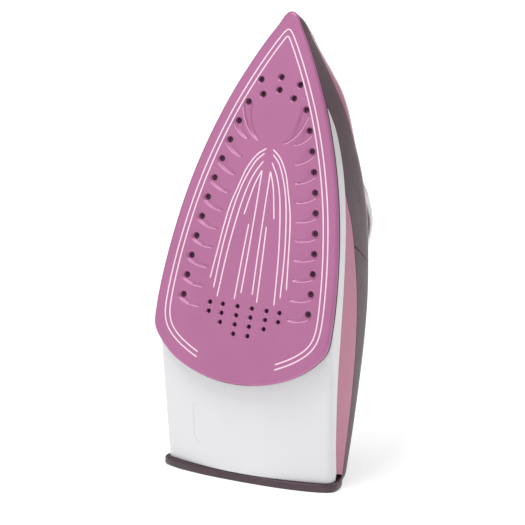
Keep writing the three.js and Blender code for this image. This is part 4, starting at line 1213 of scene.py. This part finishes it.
def buttons():
    for node, z in BUTTON_Z.items():
        loop = rounded_rect(-9, 9, z - 7.5, z + 7.5, 4)
        piece = shape(node + "_cap", *crowned(loop, CAP_LOW, CAP_HIGH, 1.6, 1.0))
        hollow = rounded_rect(-7.2, 7.2, z - 5.7, z + 5.7, 3)
        cut_with(piece, slab(hollow, [(0, 120), (0, CAP_CEILING)]))
        for dz in (-2.4, 0, 2.4):
            ridge = rounded_rect(-4.4, 4.4, z + dz - 0.4, z + dz + 0.4, 0.39)
            cut_with(piece, slab(ridge, soft_profile(132.6, 133.5, 0.3, 3)), "UNION")
        cut_with(piece, bore(2, 111.9, 131, z, 32), "UNION")
        finish_piece(piece, node, sharp=40)


def selector():
    y, z = SELECTOR_Y, SELECTOR_Z
    knob = box_part(-5.6, 5.6, y - 4, y + 4, z, z + 3.8)
    stem = box_part(-3.9, 3.9, y - 3, y + 3, z - 10.2, z + 0.2)
    ribs = [box_part(-5, 5, y + dy - 0.45, y + dy + 0.45, z + 3.5, z + 4.5) for dy in (-2, 0, 2)]
    piece = shape("steam_selector_knob", *joined([knob, stem] + ribs), round_by=0.3)
    finish_piece(piece, "steam_selector")


def dial():
    def notched(turn, r, y):
        wave = np.cos(12 * (turn - math.pi / 12)).clip(0, 1) ** 14
        deep = 0.045 if r > DIAL_R - 1 and DIAL_LOW + 1.5 < y < DIAL_TOP - 0.5 else 0
        return 1 - deep * wave

    low, top, r = DIAL_LOW, DIAL_TOP, DIAL_R
    profile = [(SHAFT_R + 0.3, low + 2), (r - 2, low), (r - 0.6, low + 0.3), (r, low + 1), (r, low + 1.6),
               (r, low + 3.5), (r, top - 3), (r - 0.5, top - 1.8), (r - 1.6, top - 1),
               (r - 3.5, top - 0.4), (r - 6, top), (r - 8, top - 0.3),
               (SHAFT_R + 2, top - 0.3), (SHAFT_R + 0.3, top - 0.6)]
    wheel = moved(lathe(profile, 288, notched), z=DIAL_Z)
    grip = slab(rounded_rect(-2, 2, DIAL_Z - 13, DIAL_Z + 16, 1.9), soft_profile(top - 1.2, top + 3, 0.8, 4))
    piece = shape("temperature_dial_wheel", *wheel)
    boolean(piece, shape("grip", *grip), "UNION")
    cut_with(piece, bore(SHAFT_R + 0.3, top - 8, top + 1, DIAL_Z))
    finish_piece(piece, "temperature_dial", sharp=35)
    ring = [(r + 0.5, low - 0.4), (r + 2.2, low - 0.4), (r + 2.2, low + 2.8), (r + 1.9, low + 3.4),
            (r + 1.1, low + 3.95), (r + 0.6, low + 4), (r + 0.5, low + 3.8)]
    piece = shape("dial_ring_trim", *moved(lathe(ring, 128), z=DIAL_Z))
    finish_piece(piece, "dial_ring")


def gland():
    sleeve = [(3.4, -7), (8.4, -7), (8.4, -4.4), (6.1, -4.4), (6.1, 1.6)]
    for k in range(5):
        y = 3 + 2 * k
        r = 6.1 - 0.2 * k
        sleeve += [(r, y - 0.6), (r, y + 0.3), (r - 0.7, y + 0.5), (r - 0.7, y + 1.1)]
    sleeve += [(5.2, 12.4), (4.9, 13), (3.4, 13)]
    piece = shape("cord_gland_sleeve", *tilted(lathe(sleeve, 64), GLAND_TILT, GLAND_Y, GLAND_Z))
    finish_piece(piece, "cord_gland")
    collar = [(6.5, 2.6), (9.6, 2.6), (9.6, 3.4), (9.2, 4.5), (8.2, 5.1), (6.9, 5.4), (6.5, 5.3)]
    piece = shape("gland_collar_ring", *tilted(lathe(collar, 64), GLAND_TILT, GLAND_Y, GLAND_Z))
    finish_piece(piece, "gland_collar")


def nozzle():
    tip = [(0.7, 0), (3.1, 0), (3.1, 8.4), (4.4, 8.4), (4.6, 8.8), (4.5, 10.6), (4.1, 11.6), (2.2, 12.1),
           (1.3, 11.7), (0.7, 11.9)]
    points, faces = tilted(lathe(tip, 64), -math.pi / 2, NOZZLE_Y, NOZZLE_Z)
    piece = shape("spray_nozzle_tip", points, faces)
    finish_piece(piece, "spray_nozzle")


def lamp():
    lens = [(0, 124), (3, 124), (3, 129.6), (2.8, 130.3), (2.2, 130.8), (1.2, 131.1), (0, 131.2)]
    piece = shape("pilot_lamp_lens", *moved(lathe(lens, 48), z=LAMP_Z))
    finish_piece(piece, "pilot_lamp", sharp=60)


def along_hinge(radius, half):
    """A round bar on the filler lid's hinge axis."""
    points, faces = lathe([(0, -half), (radius, -half), (radius, half), (0, half)], 40)
    return points[:, [1, 0, 2]] + np.array([0, LID_Y, LID_Z]), faces


def filler():
    y, z = LID_Y, LID_Z
    cover = crowned(rounded_rect(-LID_HALF, LID_HALF, z - LID_LONG, z - 3.4, 4), y + 0.2, y + 2.1, 0.8, 0.25)
    tongue = box_part(-4.8, 4.8, y - 0.2, y + 2.0, z - 5, z)
    seal = bore(4.6, y - 0.1, y + 1, MOUTH_Z, 40)
    pull = slab(rounded_rect(-3.5, 3.5, z - LID_LONG + 1.4, z - LID_LONG + 3.0, 0.7),
                soft_profile(y + 1.9, y + 3.0, 0.4, 3))
    piece = shape("filler_lid_cover", *cover)
    for part in (tongue, along_hinge(2.1, 4.8), seal, pull):
        cut_with(piece, part, "UNION")
    cut_with(piece, along_hinge(1.3, 15))
    finish_piece(piece, "filler_lid", sharp=40)
    neck = [(5, 44), (5.9, 44), (5.9, y - 0.5), (5.7, y - 0.3), (5.2, y - 0.3), (5, y - 0.5)]
    finish_piece(shape("filler_neck_tube", *moved(lathe(neck, 64), z=MOUTH_Z)), "filler_neck")


# ---- stage ----
VIEW_TURN, VIEW_ROLL = math.radians(25), math.radians(9.15)
VIEW_LENS, VIEW_AWAY, VIEW_TARGET = 343.9, 2.96, (5.65, 3.0, 139.3)
FLOOR_GLOW, SKY_STRENGTH = 0.45, 0.46


def camera():
    turn, roll = VIEW_TURN, VIEW_ROLL
    along = Vector((0, SIN, COS))
    outward = Vector((0, -COS, SIN))
    back = outward * math.cos(turn) + Vector((1, 0, 0)) * math.sin(turn)
    across = Vector((1, 0, 0)) * math.cos(turn) - outward * math.sin(turn)
    right = across * math.cos(roll) + along * math.sin(roll)
    up = along * math.cos(roll) - across * math.sin(roll)
    data = bpy.data.cameras.new("camera")
    data.sensor_width = 36
    data.lens = VIEW_LENS
    view = bpy.data.objects.new("camera", data)
    bpy.context.scene.collection.objects.link(view)
    target = Vector(to_row([VIEW_TARGET])[0])
    place = Matrix((right, up, back)).transposed().to_4x4()
    place.translation = target + back * VIEW_AWAY
    view.matrix_world = place
    bpy.context.scene.camera = view


def area_light(name, place, target, size, power, color=(1, 1, 1)):
    data = bpy.data.lights.new(name, "AREA")
    data.shape = "DISK"
    data.size = size
    data.energy = power
    data.color = color
    lamp = bpy.data.objects.new(name, data)
    bpy.context.scene.collection.objects.link(lamp)
    lamp.location = place
    lamp.rotation_mode = "QUATERNION"
    lamp.rotation_quaternion = (Vector(target) - Vector(place)).to_track_quat("-Z", "Y")


def stage():
    radius, steps = 6.0, 96
    ring = [(radius * math.cos(2 * math.pi * k / steps), radius * math.sin(2 * math.pi * k / steps), 0.0)
            for k in range(steps)]
    mesh = bpy.data.meshes.new("floor")
    mesh.from_pydata(ring, [], [tuple(range(steps))])
    floor = bpy.data.objects.new("floor", mesh)
    bpy.context.scene.collection.objects.link(floor)
    n = Nodes("floor_paper")
    paper = n.ramp(n.noise(3, 3), [(0.3, (0.93, 0.93, 0.93)), (0.7, (0.95, 0.95, 0.95))])
    n.link(paper, n.shader.inputs["Base Color"])
    n.shader.inputs["Roughness"].default_value = 0.9
    n.shader.inputs["Emission Color"].default_value = (1, 1, 1, 1)
    n.shader.inputs["Emission Strength"].default_value = FLOOR_GLOW
    mesh.materials.append(n.material)
    world = bpy.data.worlds.new("studio")
    bpy.context.scene.world = world
    world.use_nodes = True
    sky = world.node_tree.nodes["Background"]
    sky.inputs["Color"].default_value = (1, 1, 1, 1)
    sky.inputs["Strength"].default_value = SKY_STRENGTH
    bpy.context.scene.view_settings.view_transform = "Standard"
    middle = (0, 0, 0.14)
    area_light("top", (-0.2, -0.9, 1.5), middle, 0.8, 15.5)
    area_light("key", (-1.3, -2.0, 1.0), middle, 1.5, 5)
    area_light("fill", (2.0, -1.0, 0.8), middle, 1.4, 4)
    area_light("rim", (0.3, 1.7, 1.5), middle, 1.4, 8)


camera()
make_materials()
stage()
sole_face()
sole_lines()
painted_channel_highlights()
sole_casting()
lower_housing()
nose_band()
rear_panels()
water_tank()
deck_cover()
heel_plate()
handle()
buttons()
selector()
dial()
gland()
nozzle()
lamp()
filler()
